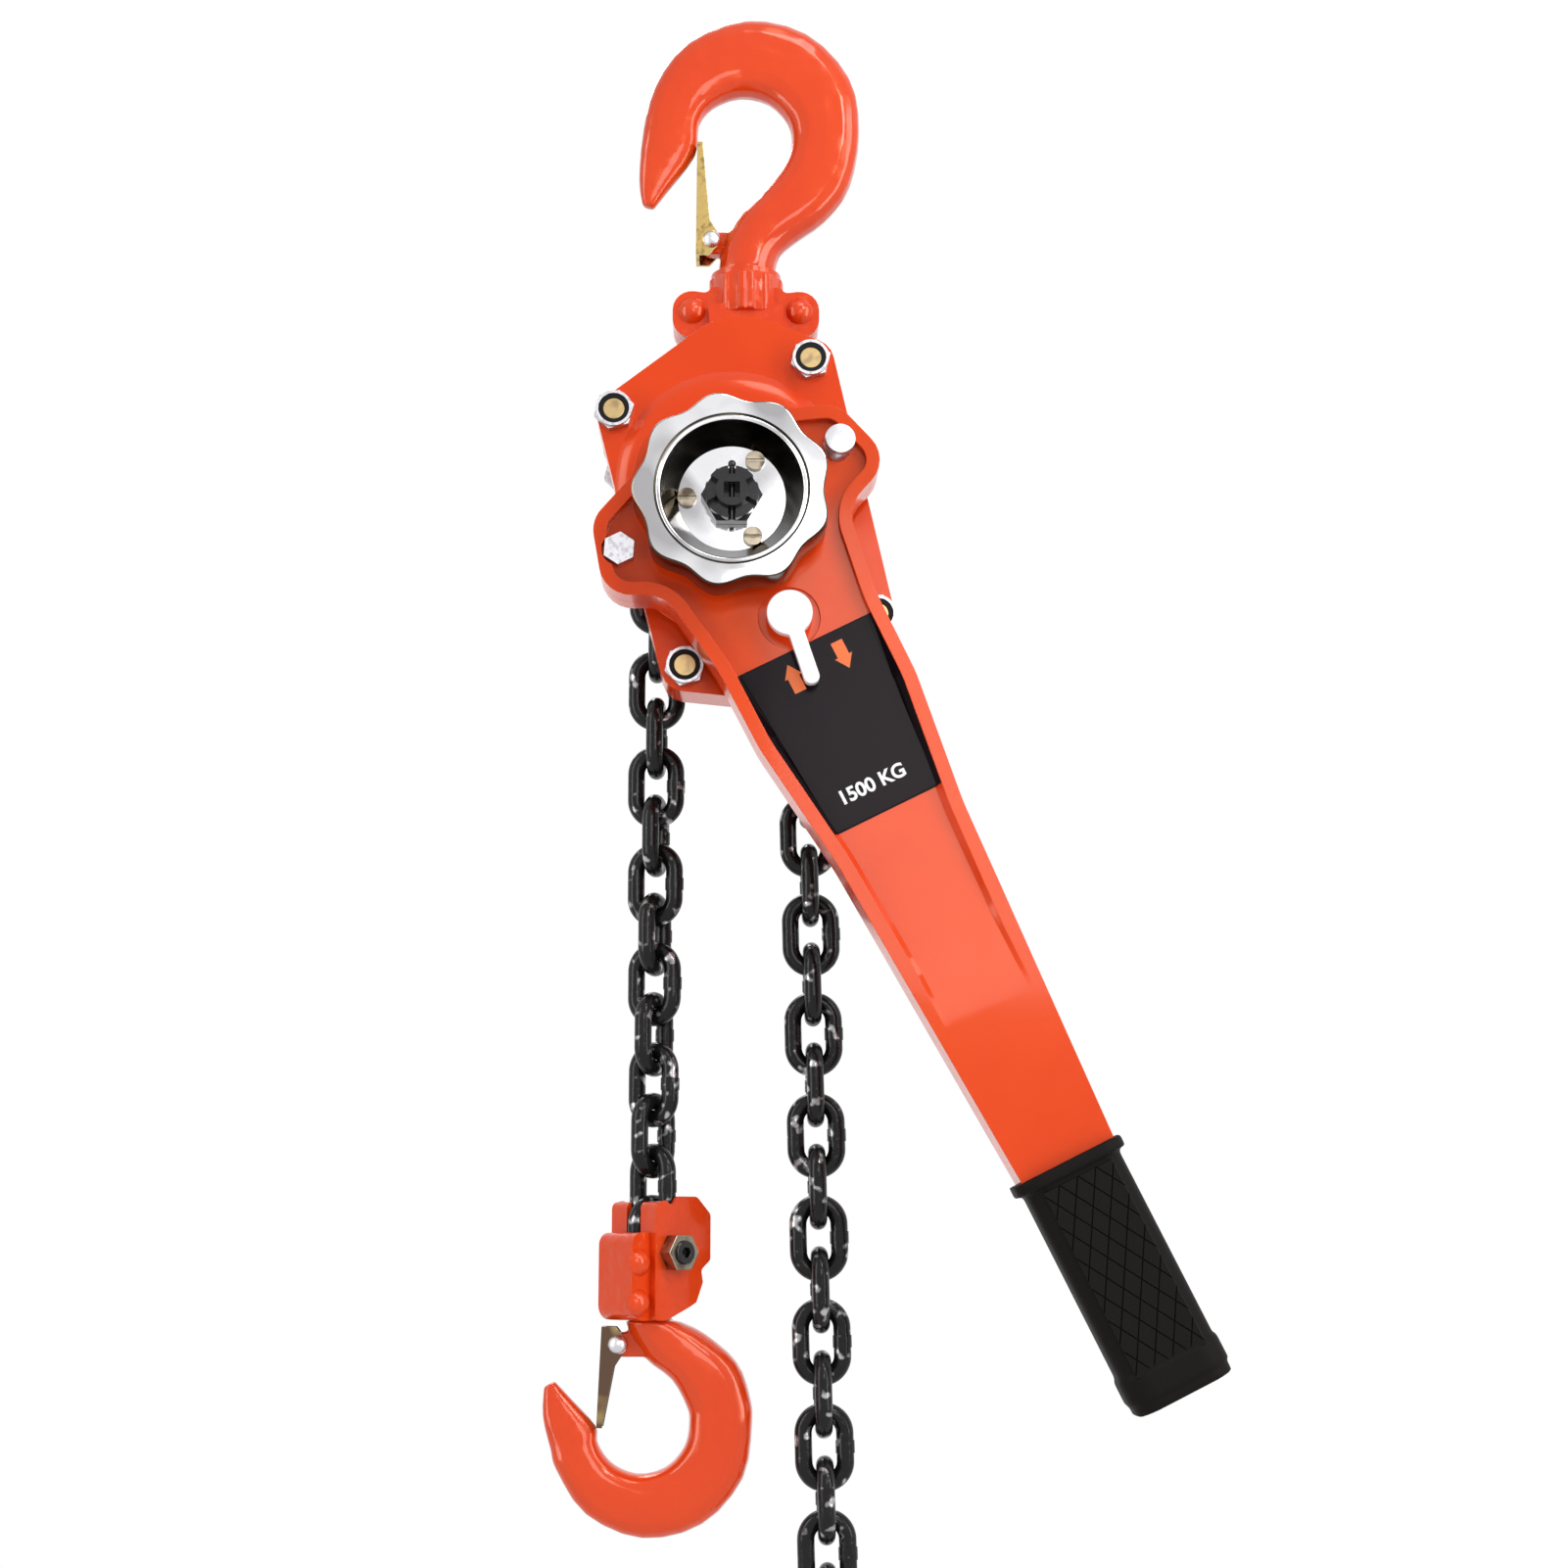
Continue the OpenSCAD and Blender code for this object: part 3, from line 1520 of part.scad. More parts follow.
tail_chain_lower();
chain_end_stop();
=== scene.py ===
# %% [markdown]
# # A lever hoist in Blender
# The hoist arrives as a measured frame: every working piece is already there, in metres, with
# its joints. This lesson dresses that frame. Pressed and forged pieces get their soft edges, the
# handwheel, grip and plate get the detail a maker adds last, and each surface gets its finish.

# %% Load the frame
import bpy
import json
import math
from mathutils import Matrix, Vector


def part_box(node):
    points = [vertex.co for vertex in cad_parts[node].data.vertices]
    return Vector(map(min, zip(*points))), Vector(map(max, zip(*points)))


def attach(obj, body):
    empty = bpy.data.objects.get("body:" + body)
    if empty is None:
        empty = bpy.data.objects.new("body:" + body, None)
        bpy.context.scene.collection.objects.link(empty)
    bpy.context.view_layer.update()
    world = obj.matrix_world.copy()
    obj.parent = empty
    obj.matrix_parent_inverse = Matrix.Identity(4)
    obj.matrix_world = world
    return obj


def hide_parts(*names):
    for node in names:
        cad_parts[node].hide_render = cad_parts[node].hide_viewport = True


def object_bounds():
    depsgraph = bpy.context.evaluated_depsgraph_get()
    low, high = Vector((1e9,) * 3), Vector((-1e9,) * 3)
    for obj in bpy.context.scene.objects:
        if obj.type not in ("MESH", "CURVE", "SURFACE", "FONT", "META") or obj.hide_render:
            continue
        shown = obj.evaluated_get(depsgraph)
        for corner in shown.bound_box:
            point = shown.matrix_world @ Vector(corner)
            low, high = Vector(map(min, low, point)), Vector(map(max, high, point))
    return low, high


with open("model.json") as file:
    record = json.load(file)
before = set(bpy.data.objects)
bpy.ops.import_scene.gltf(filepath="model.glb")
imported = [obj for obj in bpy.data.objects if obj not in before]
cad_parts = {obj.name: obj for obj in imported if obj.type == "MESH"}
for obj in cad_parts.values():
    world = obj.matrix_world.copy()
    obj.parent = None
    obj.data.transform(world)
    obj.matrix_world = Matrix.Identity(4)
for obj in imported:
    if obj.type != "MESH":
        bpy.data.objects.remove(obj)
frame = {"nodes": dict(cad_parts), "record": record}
cad_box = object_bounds()
print("frame box:", [round(v, 3) for corner in cad_box for v in corner])

# %% [markdown]
# The record says which body each node rides on and which finish slot it takes. Two small tables
# made from it save us from repeating those names later.

# %% Who rides where
mm = 0.001
record = frame["record"]
body_of = {node: body for body, nodes in record["behaviour"]["bodies"].items() for node in nodes}
slot_of = {row["node"]: row["material_slot"] for row in record["subparts"]}

# %% [markdown]
# The camera comes first, because every later choice is judged through it. It stands a little
# over a metre in front of the hanging hoist, lower than the housing, and looks slightly up.

# %% Camera
CAMERA_PLACE = (-6.0 * mm, -1083.4 * mm, -500.3 * mm)
CAMERA_TILT = math.radians(100)
CAMERA_TURN = math.radians(-1.2)
HALF_VIEW = 331.4 * mm
VIEW_AT = 1.1

camera_data = bpy.data.cameras.new("studio_camera")
camera_data.angle = 2 * math.atan(HALF_VIEW / VIEW_AT)
camera = bpy.data.objects.new("studio_camera", camera_data)
camera.location = CAMERA_PLACE
camera.rotation_euler = (CAMERA_TILT, 0, CAMERA_TURN)
bpy.context.scene.collection.objects.link(camera)
bpy.context.scene.camera = camera
bpy.context.scene.view_settings.view_transform = "Standard"
print("view angle:", round(math.degrees(camera_data.angle), 1), "degrees")

# %% [markdown]
# Shader nodes read like arithmetic once a socket is wrapped in a small class. Adding two wrapped
# sockets adds a Math node, and the reflected forms let a plain number stand on the left, as in
# 1 - mask. Everything else goes through one method that takes a node type.

# %% Sockets as values
class Wire:
    """One output socket of a material's node tree."""

    def __init__(self, tree, socket=None):
        self.tree = tree
        self.socket = socket

    def node(self, kind, settings=None, inputs=None, output=0):
        """Adds a node of any type: its settings first, then its sockets' values or wires."""
        made = self.tree.nodes.new(kind)
        for key, value in (settings or {}).items():
            setattr(made, key, value)
        for key, value in (inputs or {}).items():
            if isinstance(value, Wire):
                self.tree.links.new(value.socket, made.inputs[key])
            else:
                made.inputs[key].default_value = value
        return Wire(self.tree, made.outputs[output])

    def math(self, operation, first, second=0.0, clamp=False):
        """Adds a Math node on two values, either of which may be a plain number."""
        settings = {"operation": operation, "use_clamp": clamp}
        return self.node("ShaderNodeMath", settings, {0: first, 1: second})

    def __add__(self, other):
        return self.math("ADD", self, other)

    def __mul__(self, other):
        return self.math("MULTIPLY", self, other)

    def __sub__(self, other):
        return self.math("SUBTRACT", self, other)

    def __rsub__(self, other):
        return self.math("SUBTRACT", other, self)

    __radd__ = __add__
    __rmul__ = __mul__

    def clamped(self):
        """Keeps the value between 0 and 1."""
        return self.math("ADD", self, clamp=True)


print("wires ready")

# %% [markdown]
# Every finish starts from the same recipe: a Principled shader, a place on the surface read from
# Object coordinates, and a few noises laid over it. Numbers that never change sit directly on
# the shader; only what varies over the surface is wired.

# %% The finish recipe
def new_finish(name, color, roughness, metallic=0.0, gloss=0.25, coat=0.0, coat_roughness=0.05):
    """A shader with fixed values; gloss is how strongly a plain face mirrors the studio."""
    finish = bpy.data.materials.new(name)
    finish.use_nodes = True
    tree = finish.node_tree
    shader = tree.nodes["Principled BSDF"]
    shader.inputs["Base Color"].default_value = (*color, 1)
    shader.inputs["Roughness"].default_value = roughness
    shader.inputs["Metallic"].default_value = metallic
    shader.inputs["Specular IOR Level"].default_value = gloss
    shader.inputs["Coat Weight"].default_value = coat
    shader.inputs["Coat Roughness"].default_value = coat_roughness
    finish.diffuse_color = (*color, 1)
    return finish, shader, Wire(tree).node("ShaderNodeTexCoord", output="Object")


def noise(spot, size_mm, detail=2.0):
    """A noise whose blobs are about size_mm across."""
    inputs = {"Vector": spot, "Scale": 1 / (size_mm * mm), "Detail": detail, "Roughness": 0.5}
    return spot.node("ShaderNodeTexNoise", {"noise_dimensions": "3D"}, inputs)


def mix(spot, share, low, high):
    """Blends two colours by a wired share."""
    inputs = {0: share, 6: (*low, 1), 7: (*high, 1)}
    return spot.node("ShaderNodeMix", {"data_type": "RGBA"}, inputs, 2)


def wire_to(shader, name, value):
    """Joins a wired value to one input of a shader."""
    value.tree.links.new(value.socket, shader.inputs[name])


def varied(spot, level, spread, size_mm):
    """A level that wanders up and down by a spread, in blobs of size_mm."""
    return noise(spot, size_mm, 3) * (2 * spread) + (level - spread)


def emboss(spot, shader, height, depth_mm):
    """Raises the surface by a wired height, depth_mm deep."""
    inputs = {"Strength": 1.0, "Distance": depth_mm * mm, "Height": height}
    wire_to(shader, "Normal", spot.node("ShaderNodeBump", None, inputs))


print("finish recipe ready")

# %% [markdown]
# The orange is one paint in three grades. Pressed covers are smooth with a faint orange peel.
# Forged hooks are glossier, over slow waves that the hammer left, and cast yokes have smaller,
# rougher lumps. A noise between two close reds keeps large faces from looking printed, and a
# warm tint on the shine keeps the white studio from veiling the colour.

# %% Orange paint
PAINT_DEEP = (0.60, 0.033, 0.003)
PAINT_LIGHT = (0.75, 0.061, 0.006)
PAINT_SHINE = (1.0, 0.50, 0.25)
TONE_MM = 55
SATIN_MM = 9
SATIN_SPREAD = 0.07


def orange_paint(name, peel_mm, peel_depth, lumps=None, roughness=0.22, coat=0.28):
    """The orange; peel and lumps are depths in mm, lumps as (size_mm, depth)."""
    finish, shader, spot = new_finish(name, PAINT_LIGHT, roughness,
                                      gloss=0.35, coat=coat, coat_roughness=0.07)
    shader.inputs["Specular Tint"].default_value = (*PAINT_SHINE, 1)
    wire_to(shader, "Base Color", mix(spot, noise(spot, TONE_MM), PAINT_DEEP, PAINT_LIGHT))
    wire_to(shader, "Roughness", varied(spot, roughness, SATIN_SPREAD, SATIN_MM))
    height = noise(spot, peel_mm) * peel_depth
    if lumps:
        lump_mm, lump_depth = lumps
        height = height + noise(spot, lump_mm, 1) * lump_depth
    emboss(spot, shader, height, 1.0)
    return finish


pressed_paint = orange_paint("pressed_paint", 2.2, 0.03)
forged_paint = orange_paint("forged_paint", 3.0, 0.05, lumps=(13, 1.3),
                            roughness=0.18, coat=0.55)
cast_paint = orange_paint("cast_paint", 2.5, 0.10, lumps=(6, 0.9), coat=0.45)
print("orange grades:", pressed_paint.name, forged_paint.name, cast_paint.name)

# %% [markdown]
# Metals differ mostly in colour and roughness. Polished chrome is nearly a mirror, zinc plate is
# softer, and yellow zinc leans to gold. Some get patches of a second colour: on the chrome and the
# dark chrome of the handwheel these are painted reflection, on the lower latch's brass a dark base
# with brass patches is painted reflection, and elsewhere they are plain darker patches.

# %% Metals
CLOUD_EDGE = 6.0


def metal(name, color, roughness, worn=0.08, grain_mm=3.0, grain_depth=0.0,
          cloud=None, cloud_mm=24):
    """A bare metal; a cloud colour lays patches of a second colour over it."""
    finish, shader, spot = new_finish(name, color, roughness, metallic=1.0, gloss=0.5)
    if cloud:
        patch = ((noise(spot, cloud_mm, 1) - 0.5) * CLOUD_EDGE).clamped()
        wire_to(shader, "Base Color", mix(spot, patch, color, cloud))
    wire_to(shader, "Roughness", varied(spot, roughness, worn, grain_mm))
    if grain_depth:
        emboss(spot, shader, noise(spot, grain_mm, 4), grain_depth)
    return finish


# Painted reflection: grey patches on the polished chrome stand for the light and dark it mirrors.
chrome = metal("polished_chrome", (0.84, 0.84, 0.86), 0.09, 0.03, 12, cloud=(0.45, 0.44, 0.45))
# Painted reflection: a dark chrome colour for faces that would mirror the dark of the room, with
# warm patches painted as the orange it would mirror.
painted_reflection_chrome = metal("chrome_with_painted_reflection", (0.05, 0.045, 0.035), 0.16, 0.05, 8,
                    cloud=(0.30, 0.27, 0.21), cloud_mm=30)
zinc = metal("bright_zinc", (0.66, 0.66, 0.69), 0.30, 0.10, 2.5, 0.04)
dull_zinc = metal("dull_zinc", (0.60, 0.59, 0.62), 0.34, 0.10, 1.5, 0.08,
                  cloud=(0.44, 0.43, 0.46), cloud_mm=2)
oily_zinc = metal("oily_zinc", (0.34, 0.29, 0.22), 0.24, 0.08, 3, 0.03,
                  cloud=(0.09, 0.07, 0.05), cloud_mm=7)
yellow_zinc = metal("yellow_zinc", (0.50, 0.36, 0.17), 0.32, 0.10, 2, 0.05,
                    cloud=(0.34, 0.24, 0.13), cloud_mm=5)
latch_brass = metal("latch_brass", (0.62, 0.44, 0.16), 0.22, 0.08, 2, 0.06,
                    cloud=(0.36, 0.24, 0.08), cloud_mm=3)
# Painted reflection: the lower latch is the same brass, painted dark for the dark it mirrors from
# the side, with brass patches as painted glints.
painted_reflection_brass = metal("painted_reflection_brass", (0.13, 0.08, 0.055), 0.22, 0.08, 4,
                   cloud=(0.42, 0.30, 0.13), cloud_mm=12)
plain_steel = metal("plain_steel", (0.42, 0.42, 0.44), 0.36, 0.10, 3, 0.03)
print("metals ready")

# %% [markdown]
# The chain and the castle nut are blackened steel under a film of oil. On the chain, small spots
# of lighter, metallic steel are painted on as glints of light along its links.

# %% Black metals
OIL_SPREAD = 0.15
# Size, threshold, edge and colour of the glints painted on the chain's links.
PAINTED_GLINT_MM = 5.0
PAINTED_GLINT_FROM = 0.62
PAINTED_GLINT_EDGE = 9.0
PAINTED_GLINT_STEEL = (0.46, 0.45, 0.46)


def black_steel(name, color, roughness, scale_mm, depth, oil=0.22, painted_glints=False):
    """Blackened steel under oil; with painted glints, small spots of lighter metal are painted on
    as glints of light.
    """
    finish, shader, spot = new_finish(name, color, roughness,
                                      gloss=0.12, coat=oil, coat_roughness=0.07)
    # Painted glints: spots of lighter metallic steel stand for light glinting off the links.
    if painted_glints:
        shine = ((noise(spot, PAINTED_GLINT_MM, 1) - PAINTED_GLINT_FROM) * PAINTED_GLINT_EDGE).clamped()
        wire_to(shader, "Base Color", mix(spot, shine, color, PAINTED_GLINT_STEEL))
        wire_to(shader, "Metallic", shine)
    wire_to(shader, "Roughness", varied(spot, roughness, OIL_SPREAD, scale_mm * 2))
    emboss(spot, shader, noise(spot, scale_mm, 4), depth)
    return finish


# The chain carries painted glints.
chain_black = black_steel("chain_black", (0.007, 0.007, 0.008), 0.24, 4.0, 0.55, painted_glints=True)
nut_black = black_steel("nut_black", (0.006, 0.006, 0.007), 0.24, 2.0, 0.06, oil=0.7)
print("black metals ready")

# %% [markdown]
# Plastics and rubber are plain colours with a fine grain. The plate is printed gloss black, the
# grip is dull rubber, and the selector is bright white enamel over steel.

# %% Plastics, rubber and enamel
def plain(name, color, roughness, grain_mm, depth, gloss=0.25, coat=0.0):
    """One colour with a fine grain."""
    finish, shader, spot = new_finish(name, color, roughness, gloss=gloss, coat=coat)
    emboss(spot, shader, noise(spot, grain_mm, 3), depth)
    return finish


plate_black = plain("plate_black", (0.009, 0.005, 0.007), 0.22, 14, 0.05, gloss=0.06, coat=0.03)
arrow_orange = plain("arrow_orange", (0.85, 0.19, 0.06), 0.40, 3, 0.01)
mark_white = plain("mark_white", (0.80, 0.80, 0.82), 0.45, 3, 0.01)
rubber = plain("grip_rubber", (0.009, 0.007, 0.007), 0.55, 1.2, 0.05, gloss=0.06)
nylon = plain("nylon_black", (0.008, 0.008, 0.009), 0.5, 2, 0.03, gloss=0.12)
lining = plain("friction_lining", (0.12, 0.09, 0.06), 0.85, 1.5, 0.15)
white_enamel = plain("white_enamel", (0.90, 0.90, 0.92), 0.18, 10, 0.02, gloss=0.5, coat=0.5)
print("plastics ready")

# %% [markdown]
# Work on a mesh always starts the same way: put everything down, take one piece up. Helpers for
# that, and for picking faces and points by their place or the way they look, keep the later
# cells short.

# %% Hands
SQUARE_ON = 0.9


def put_down():
    """Leaves edit mode and deselects everything."""
    if bpy.context.object and bpy.context.object.mode != "OBJECT":
        bpy.ops.object.mode_set(mode="OBJECT")
    bpy.ops.object.select_all(action="DESELECT")


def take_up(piece):
    """Makes one piece the only one selected."""
    put_down()
    piece.select_set(True)
    bpy.context.view_layer.objects.active = piece


def fix_place():
    """Bakes the place, turn and size of the piece in hand into its points."""
    bpy.ops.object.transform_apply(location=True, rotation=True, scale=True)


def clear_picks(kind):
    """Chooses points, edges or faces for picking, with none of them picked yet."""
    bpy.ops.object.mode_set(mode="EDIT")
    bpy.ops.mesh.select_mode(type=kind)
    bpy.ops.mesh.select_all(action="DESELECT")
    bpy.ops.object.mode_set(mode="OBJECT")


def pick_faces(piece, wanted):
    """Selects the faces whose middle and normal pass a test, and stays in edit mode."""
    clear_picks("FACE")
    for face in piece.data.polygons:
        face.select = wanted(face.center, face.normal)
    bpy.ops.object.mode_set(mode="EDIT")


def pick_points(piece, wanted):
    """Selects the points whose place passes a test, and stays in edit mode."""
    clear_picks("VERT")
    for corner in piece.data.vertices:
        corner.select = wanted(corner.co)
    bpy.ops.object.mode_set(mode="EDIT")


def looks_front(middle, normal):
    """The test for faces that look straight at the front."""
    return normal.y < -SQUARE_ON


def finish_mesh(piece, kind, **settings):
    """Adds one modifier and applies it."""
    take_up(piece)
    added = piece.modifiers.new(kind.lower(), kind)
    for key, value in settings.items():
        setattr(added, key, value)
    bpy.ops.object.modifier_apply(modifier=added.name)


def settle(piece, finish, slot, body, *nodes, smooth=40):
    """Fixes a finished piece: smooth shading, its finish, its body and the nodes it stands for."""
    take_up(piece)
    fix_place()
    bpy.ops.object.shade_smooth_by_angle(angle=math.radians(smooth))
    piece.data.materials.clear()
    piece.data.materials.append(finish)
    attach(piece, body)
    if nodes:
        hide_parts(*nodes)
    put_down()
    return piece


print("hands ready")

# %% [markdown]
# A pressed or machined piece needs no new shape, only the small rounds its edges have on the
# bench. A merged copy of the node gets its flat faces joined up and its sharp edges bevelled.

# %% Rounded copies
MERGE_WITHIN = 0.002 * mm
FLAT_WITHIN = math.radians(0.6)
SHINE_ANGLE = math.radians(30)
SHARP = math.radians(32)


def joined_copy(node, name):
    """A merged copy of a node, with its flat faces made whole."""
    piece = bpy.data.objects.new(name, frame["nodes"][node].data.copy())
    bpy.context.scene.collection.objects.link(piece)
    take_up(piece)
    bpy.ops.object.mode_set(mode="EDIT")
    bpy.ops.mesh.select_all(action="SELECT")
    bpy.ops.mesh.remove_doubles(threshold=MERGE_WITHIN)
    bpy.ops.mesh.dissolve_limited(angle_limit=FLAT_WITHIN)
    bpy.ops.object.mode_set(mode="OBJECT")
    return piece


def even_shine(piece):
    """Smooths the rounds while the flats beside them stay flat."""
    take_up(piece)
    bpy.ops.mesh.customdata_custom_splitnormals_clear()
    bpy.ops.object.shade_smooth_by_angle(angle=SHINE_ANGLE)
    finish_mesh(piece, "WEIGHTED_NORMAL", keep_sharp=True)


def round_edges(piece, edge_mm, steps):
    """Rolls every sharp edge over."""
    finish_mesh(piece, "BEVEL", width=edge_mm * mm, segments=steps, limit_method="ANGLE",
                angle_limit=SHARP, use_clamp_overlap=True)
    even_shine(piece)


def stand_in(piece, node, finish):
    """The piece takes a finish and takes over its node's body, and the node is hidden."""
    piece.data.materials.clear()
    piece.data.materials.append(finish)
    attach(piece, body_of[node])
    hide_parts(node)
    put_down()
    return piece


def rounded_copy(node, name, finish, edge_mm, steps=2):
    """A copy of a node with soft edges, which stands in for it."""
    piece = joined_copy(node, name)
    round_edges(piece, edge_mm, steps)
    return stand_in(piece, node, finish)


print("rounding ready")

# %% [markdown]
# The covers, side plates and lever halves are pressed from sheet, so their edges turn over a
# radius about as large as the sheet is thick.

# %% Pressed steel
PRESSED = {
    "side_plate_front": ("front_side_plate", 0.5),
    "side_plate_rear": ("rear_side_plate", 0.5),
    "brake_cover": ("brake_cover_pressing", 1.8),
    "gear_cover": ("gear_cover_pressing", 2.0),
    "lever_rear_shell": ("lever_rear_pressing", 1.8),
}
for node, (name, edge) in PRESSED.items():
    piece = rounded_copy(node, name, pressed_paint, edge, steps=3)
    print(name, len(piece.data.polygons), "faces")

# %% [markdown]
# The brake cover is drawn out over the brake. A disc laid into the cover is stepped up and in
# again and again, less each time, which leaves a soft shoulder above the handwheel.

# %% Dome of the brake cover
SHAFT = Vector((-5.8 * mm, 0, -206.5 * mm))
DOME_RADIUS = 48.5 * mm
DOME_UP = 17 * mm
DOME_THICK = 1.5 * mm
DOME_SIDES = 96
DOME_STEPS = [(1.4, 1.0), (2.2, 1.4), (2.8, 1.1), (3.5, 0.8), (4.0, 0.4)]
NECK_PROUD = 10 * mm
COVER_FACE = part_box("brake_cover")[0].y + NECK_PROUD


def disc(name, radius, front, back, sides, middle=SHAFT):
    """A disc across the shaft, facing the front."""
    put_down()
    bpy.ops.mesh.primitive_cylinder_add(vertices=sides, radius=radius, depth=back - front,
                                        end_fill_type="NGON",
                                        location=(middle.x, (front + back) / 2, middle.z),
                                        rotation=(math.radians(90), 0, 0))
    piece = bpy.context.object
    piece.name = name
    fix_place()
    return piece


dome = disc("brake_cover_dome", DOME_RADIUS, COVER_FACE, COVER_FACE + DOME_THICK, DOME_SIDES,
            SHAFT + Vector((0, 0, DOME_UP)))
pick_faces(dome, looks_front)
for wide_mm, rise_mm in DOME_STEPS:
    bpy.ops.mesh.inset(thickness=wide_mm * mm, depth=rise_mm * mm)
bpy.ops.object.mode_set(mode="OBJECT")
settle(dome, pressed_paint, "orange_paint", "housing", smooth=40)
print("dome of radius", round(DOME_RADIUS / mm), "mm")

# %% [markdown]
# Yokes are drop forgings or castings: thicker, rougher, with a heavier round on each edge.

# %% Yokes
YOKES = {
    "top_yoke_front": "upper_yoke_front",
    "top_yoke_rear": "upper_yoke_rear",
    "bottom_yoke_front": "lower_yoke_front",
    "bottom_yoke_rear": "lower_yoke_rear",
}
YOKE_EDGE = 0.7
for node, name in YOKES.items():
    piece = rounded_copy(node, name, cast_paint, YOKE_EDGE)
    print(name, len(piece.data.polygons), "faces")

# %% [markdown]
# The collar of the top yoke is fluted where the dies closed on it. Every other side of a plain
# many-sided collar is inset and drawn out a little, which leaves a ring of upright ribs.

# %% Fluted collar
COLLAR_RADIUS = 15.4 * mm
COLLAR_SIDES = 26
COLLAR_TOP = -86.5 * mm
COLLAR_FOOT = -104.0 * mm
RIB_SOFT = 0.7 * mm
RIB_RISE = 0.9 * mm
RIB_ROUND = 0.3 * mm
UPRIGHT = 0.5
put_down()
bpy.ops.mesh.primitive_cylinder_add(vertices=COLLAR_SIDES, radius=COLLAR_RADIUS,
                                    depth=COLLAR_TOP - COLLAR_FOOT,
                                    location=(0, 0, (COLLAR_TOP + COLLAR_FOOT) / 2))
collar = bpy.context.object
collar.name = "fluted_collar"
fix_place()
side_turn = 2 * math.pi / COLLAR_SIDES
pick_faces(collar, lambda middle, normal: abs(normal.z) < UPRIGHT
           and math.floor(math.atan2(middle.y, middle.x) / side_turn) % 2 == 0)
bpy.ops.mesh.inset(thickness=RIB_SOFT, depth=RIB_RISE, use_individual=True)
bpy.ops.object.mode_set(mode="OBJECT")
finish_mesh(collar, "BEVEL", width=RIB_ROUND, segments=2, limit_method="ANGLE")
settle(collar, cast_paint, slot_of["top_yoke_front"], body_of["top_yoke_front"], smooth=40)
print("collar with", COLLAR_SIDES // 2, "ribs")

# %% [markdown]
# The two rivets of the bottom yoke end in full domes. The points of each head are picked and
# spread from their own middle, so the shank behind keeps its size.

# %% Rivet domes
DOME_GROW = 1.40
DOME_FRONT = -11.0 * mm
rivets = joined_copy("bottom_yoke_rivets", "lower_yoke_rivets")
rivet_low, rivet_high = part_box("bottom_yoke_rivets")
rivet_middle = (rivet_low.z + rivet_high.z) / 2
for above in (True, False):
    def on_head(point):
        """The test for points of this rivet's head."""
        return point.y < DOME_FRONT and (point.z > rivet_middle) == above

    head = [corner.co for corner in rivets.data.vertices if on_head(corner.co)]
    centre = sum(head, Vector()) / len(head)
    take_up(rivets)
    pick_points(rivets, on_head)
    bpy.ops.transform.resize(value=(DOME_GROW, DOME_GROW, DOME_GROW), center_override=centre)
    bpy.ops.object.mode_set(mode="OBJECT")
    print("dome of", len(head), "points")
even_shine(rivets)
stand_in(rivets, "bottom_yoke_rivets", cast_paint)

# %% [markdown]
# A forged hook has no edges at all: the neck swells into the bowl and the bowl into the point.
# Remeshing a copy into an even skin and letting it relax melts the facets into one flowing form.

# %% Hooks
def forged_copy(node, name, finish, skin_mm, relax):
    """A remeshed and relaxed copy of a node, which stands in for it."""
    piece = joined_copy(node, name)
    finish_mesh(piece, "REMESH", mode="VOXEL", voxel_size=skin_mm * mm)
    finish_mesh(piece, "SMOOTH", factor=0.5, iterations=relax)
    return settle(piece, finish, slot_of[node], body_of[node], node, smooth=80)


for node, name in {"top_hook": "upper_forged_hook", "bottom_hook": "lower_forged_hook"}.items():
    piece = forged_copy(node, name, forged_paint, skin_mm=0.7, relax=14)
    print(name, len(piece.data.polygons), "faces")

# %% [markdown]
# The handwheel is turned and then pressed into lobes. A disc gets its groove, its lip and its
# hollow by insetting and sinking the front face. The lip's steps rise and then fall again, which
# rounds it like a rolled bead.

# %% Handwheel
LOBES = 9
PER_LOBE = 16
RIM_POINTS = LOBES * PER_LOBE
WHEEL_RADIUS = 38.2 * mm
GROOVE_RADIUS = 31.0 * mm
LIP_RADIUS = 30.4 * mm
HOLLOW_RADIUS = 28.2 * mm
FLOOR_RADIUS = 21.6 * mm
FLOOR_THICK = 4.5 * mm
CREST = 1.5 * mm
GROOVE_DEEP = 0.9 * mm
LIP_RISE = 0.9 * mm
LIP_STEPS = [(0.08, 0.5), (0.14, 0.35), (0.20, 0.15), (0.16, 0.0),
             (0.20, -0.15), (0.14, -0.35), (0.08, -0.5)]
wheel_low, wheel_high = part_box("handwheel")
wheel_front, wheel_back = wheel_low[1], wheel_high[1]
wheel_middle = (wheel_front + wheel_back) / 2


def from_shaft(point):
    """How far a point lies from the shaft's axis."""
    return math.hypot(point[0] - SHAFT.x, point[2] - SHAFT.z)


wheel = disc("chrome_handwheel", WHEEL_RADIUS, wheel_front, wheel_back, RIM_POINTS)
pick_faces(wheel, looks_front)
bpy.ops.mesh.inset(thickness=WHEEL_RADIUS - GROOVE_RADIUS - CREST)
bpy.ops.mesh.inset(thickness=CREST)
bpy.ops.mesh.inset(thickness=(GROOVE_RADIUS - LIP_RADIUS) / 2, depth=-GROOVE_DEEP)
bpy.ops.mesh.inset(thickness=(GROOVE_RADIUS - LIP_RADIUS) / 2)
lip_wide = LIP_RADIUS - HOLLOW_RADIUS
for share, rise in LIP_STEPS:
    bpy.ops.mesh.inset(thickness=share * lip_wide, depth=rise * LIP_RISE)
lip_left = sum(rise for _, rise in LIP_STEPS) * LIP_RISE
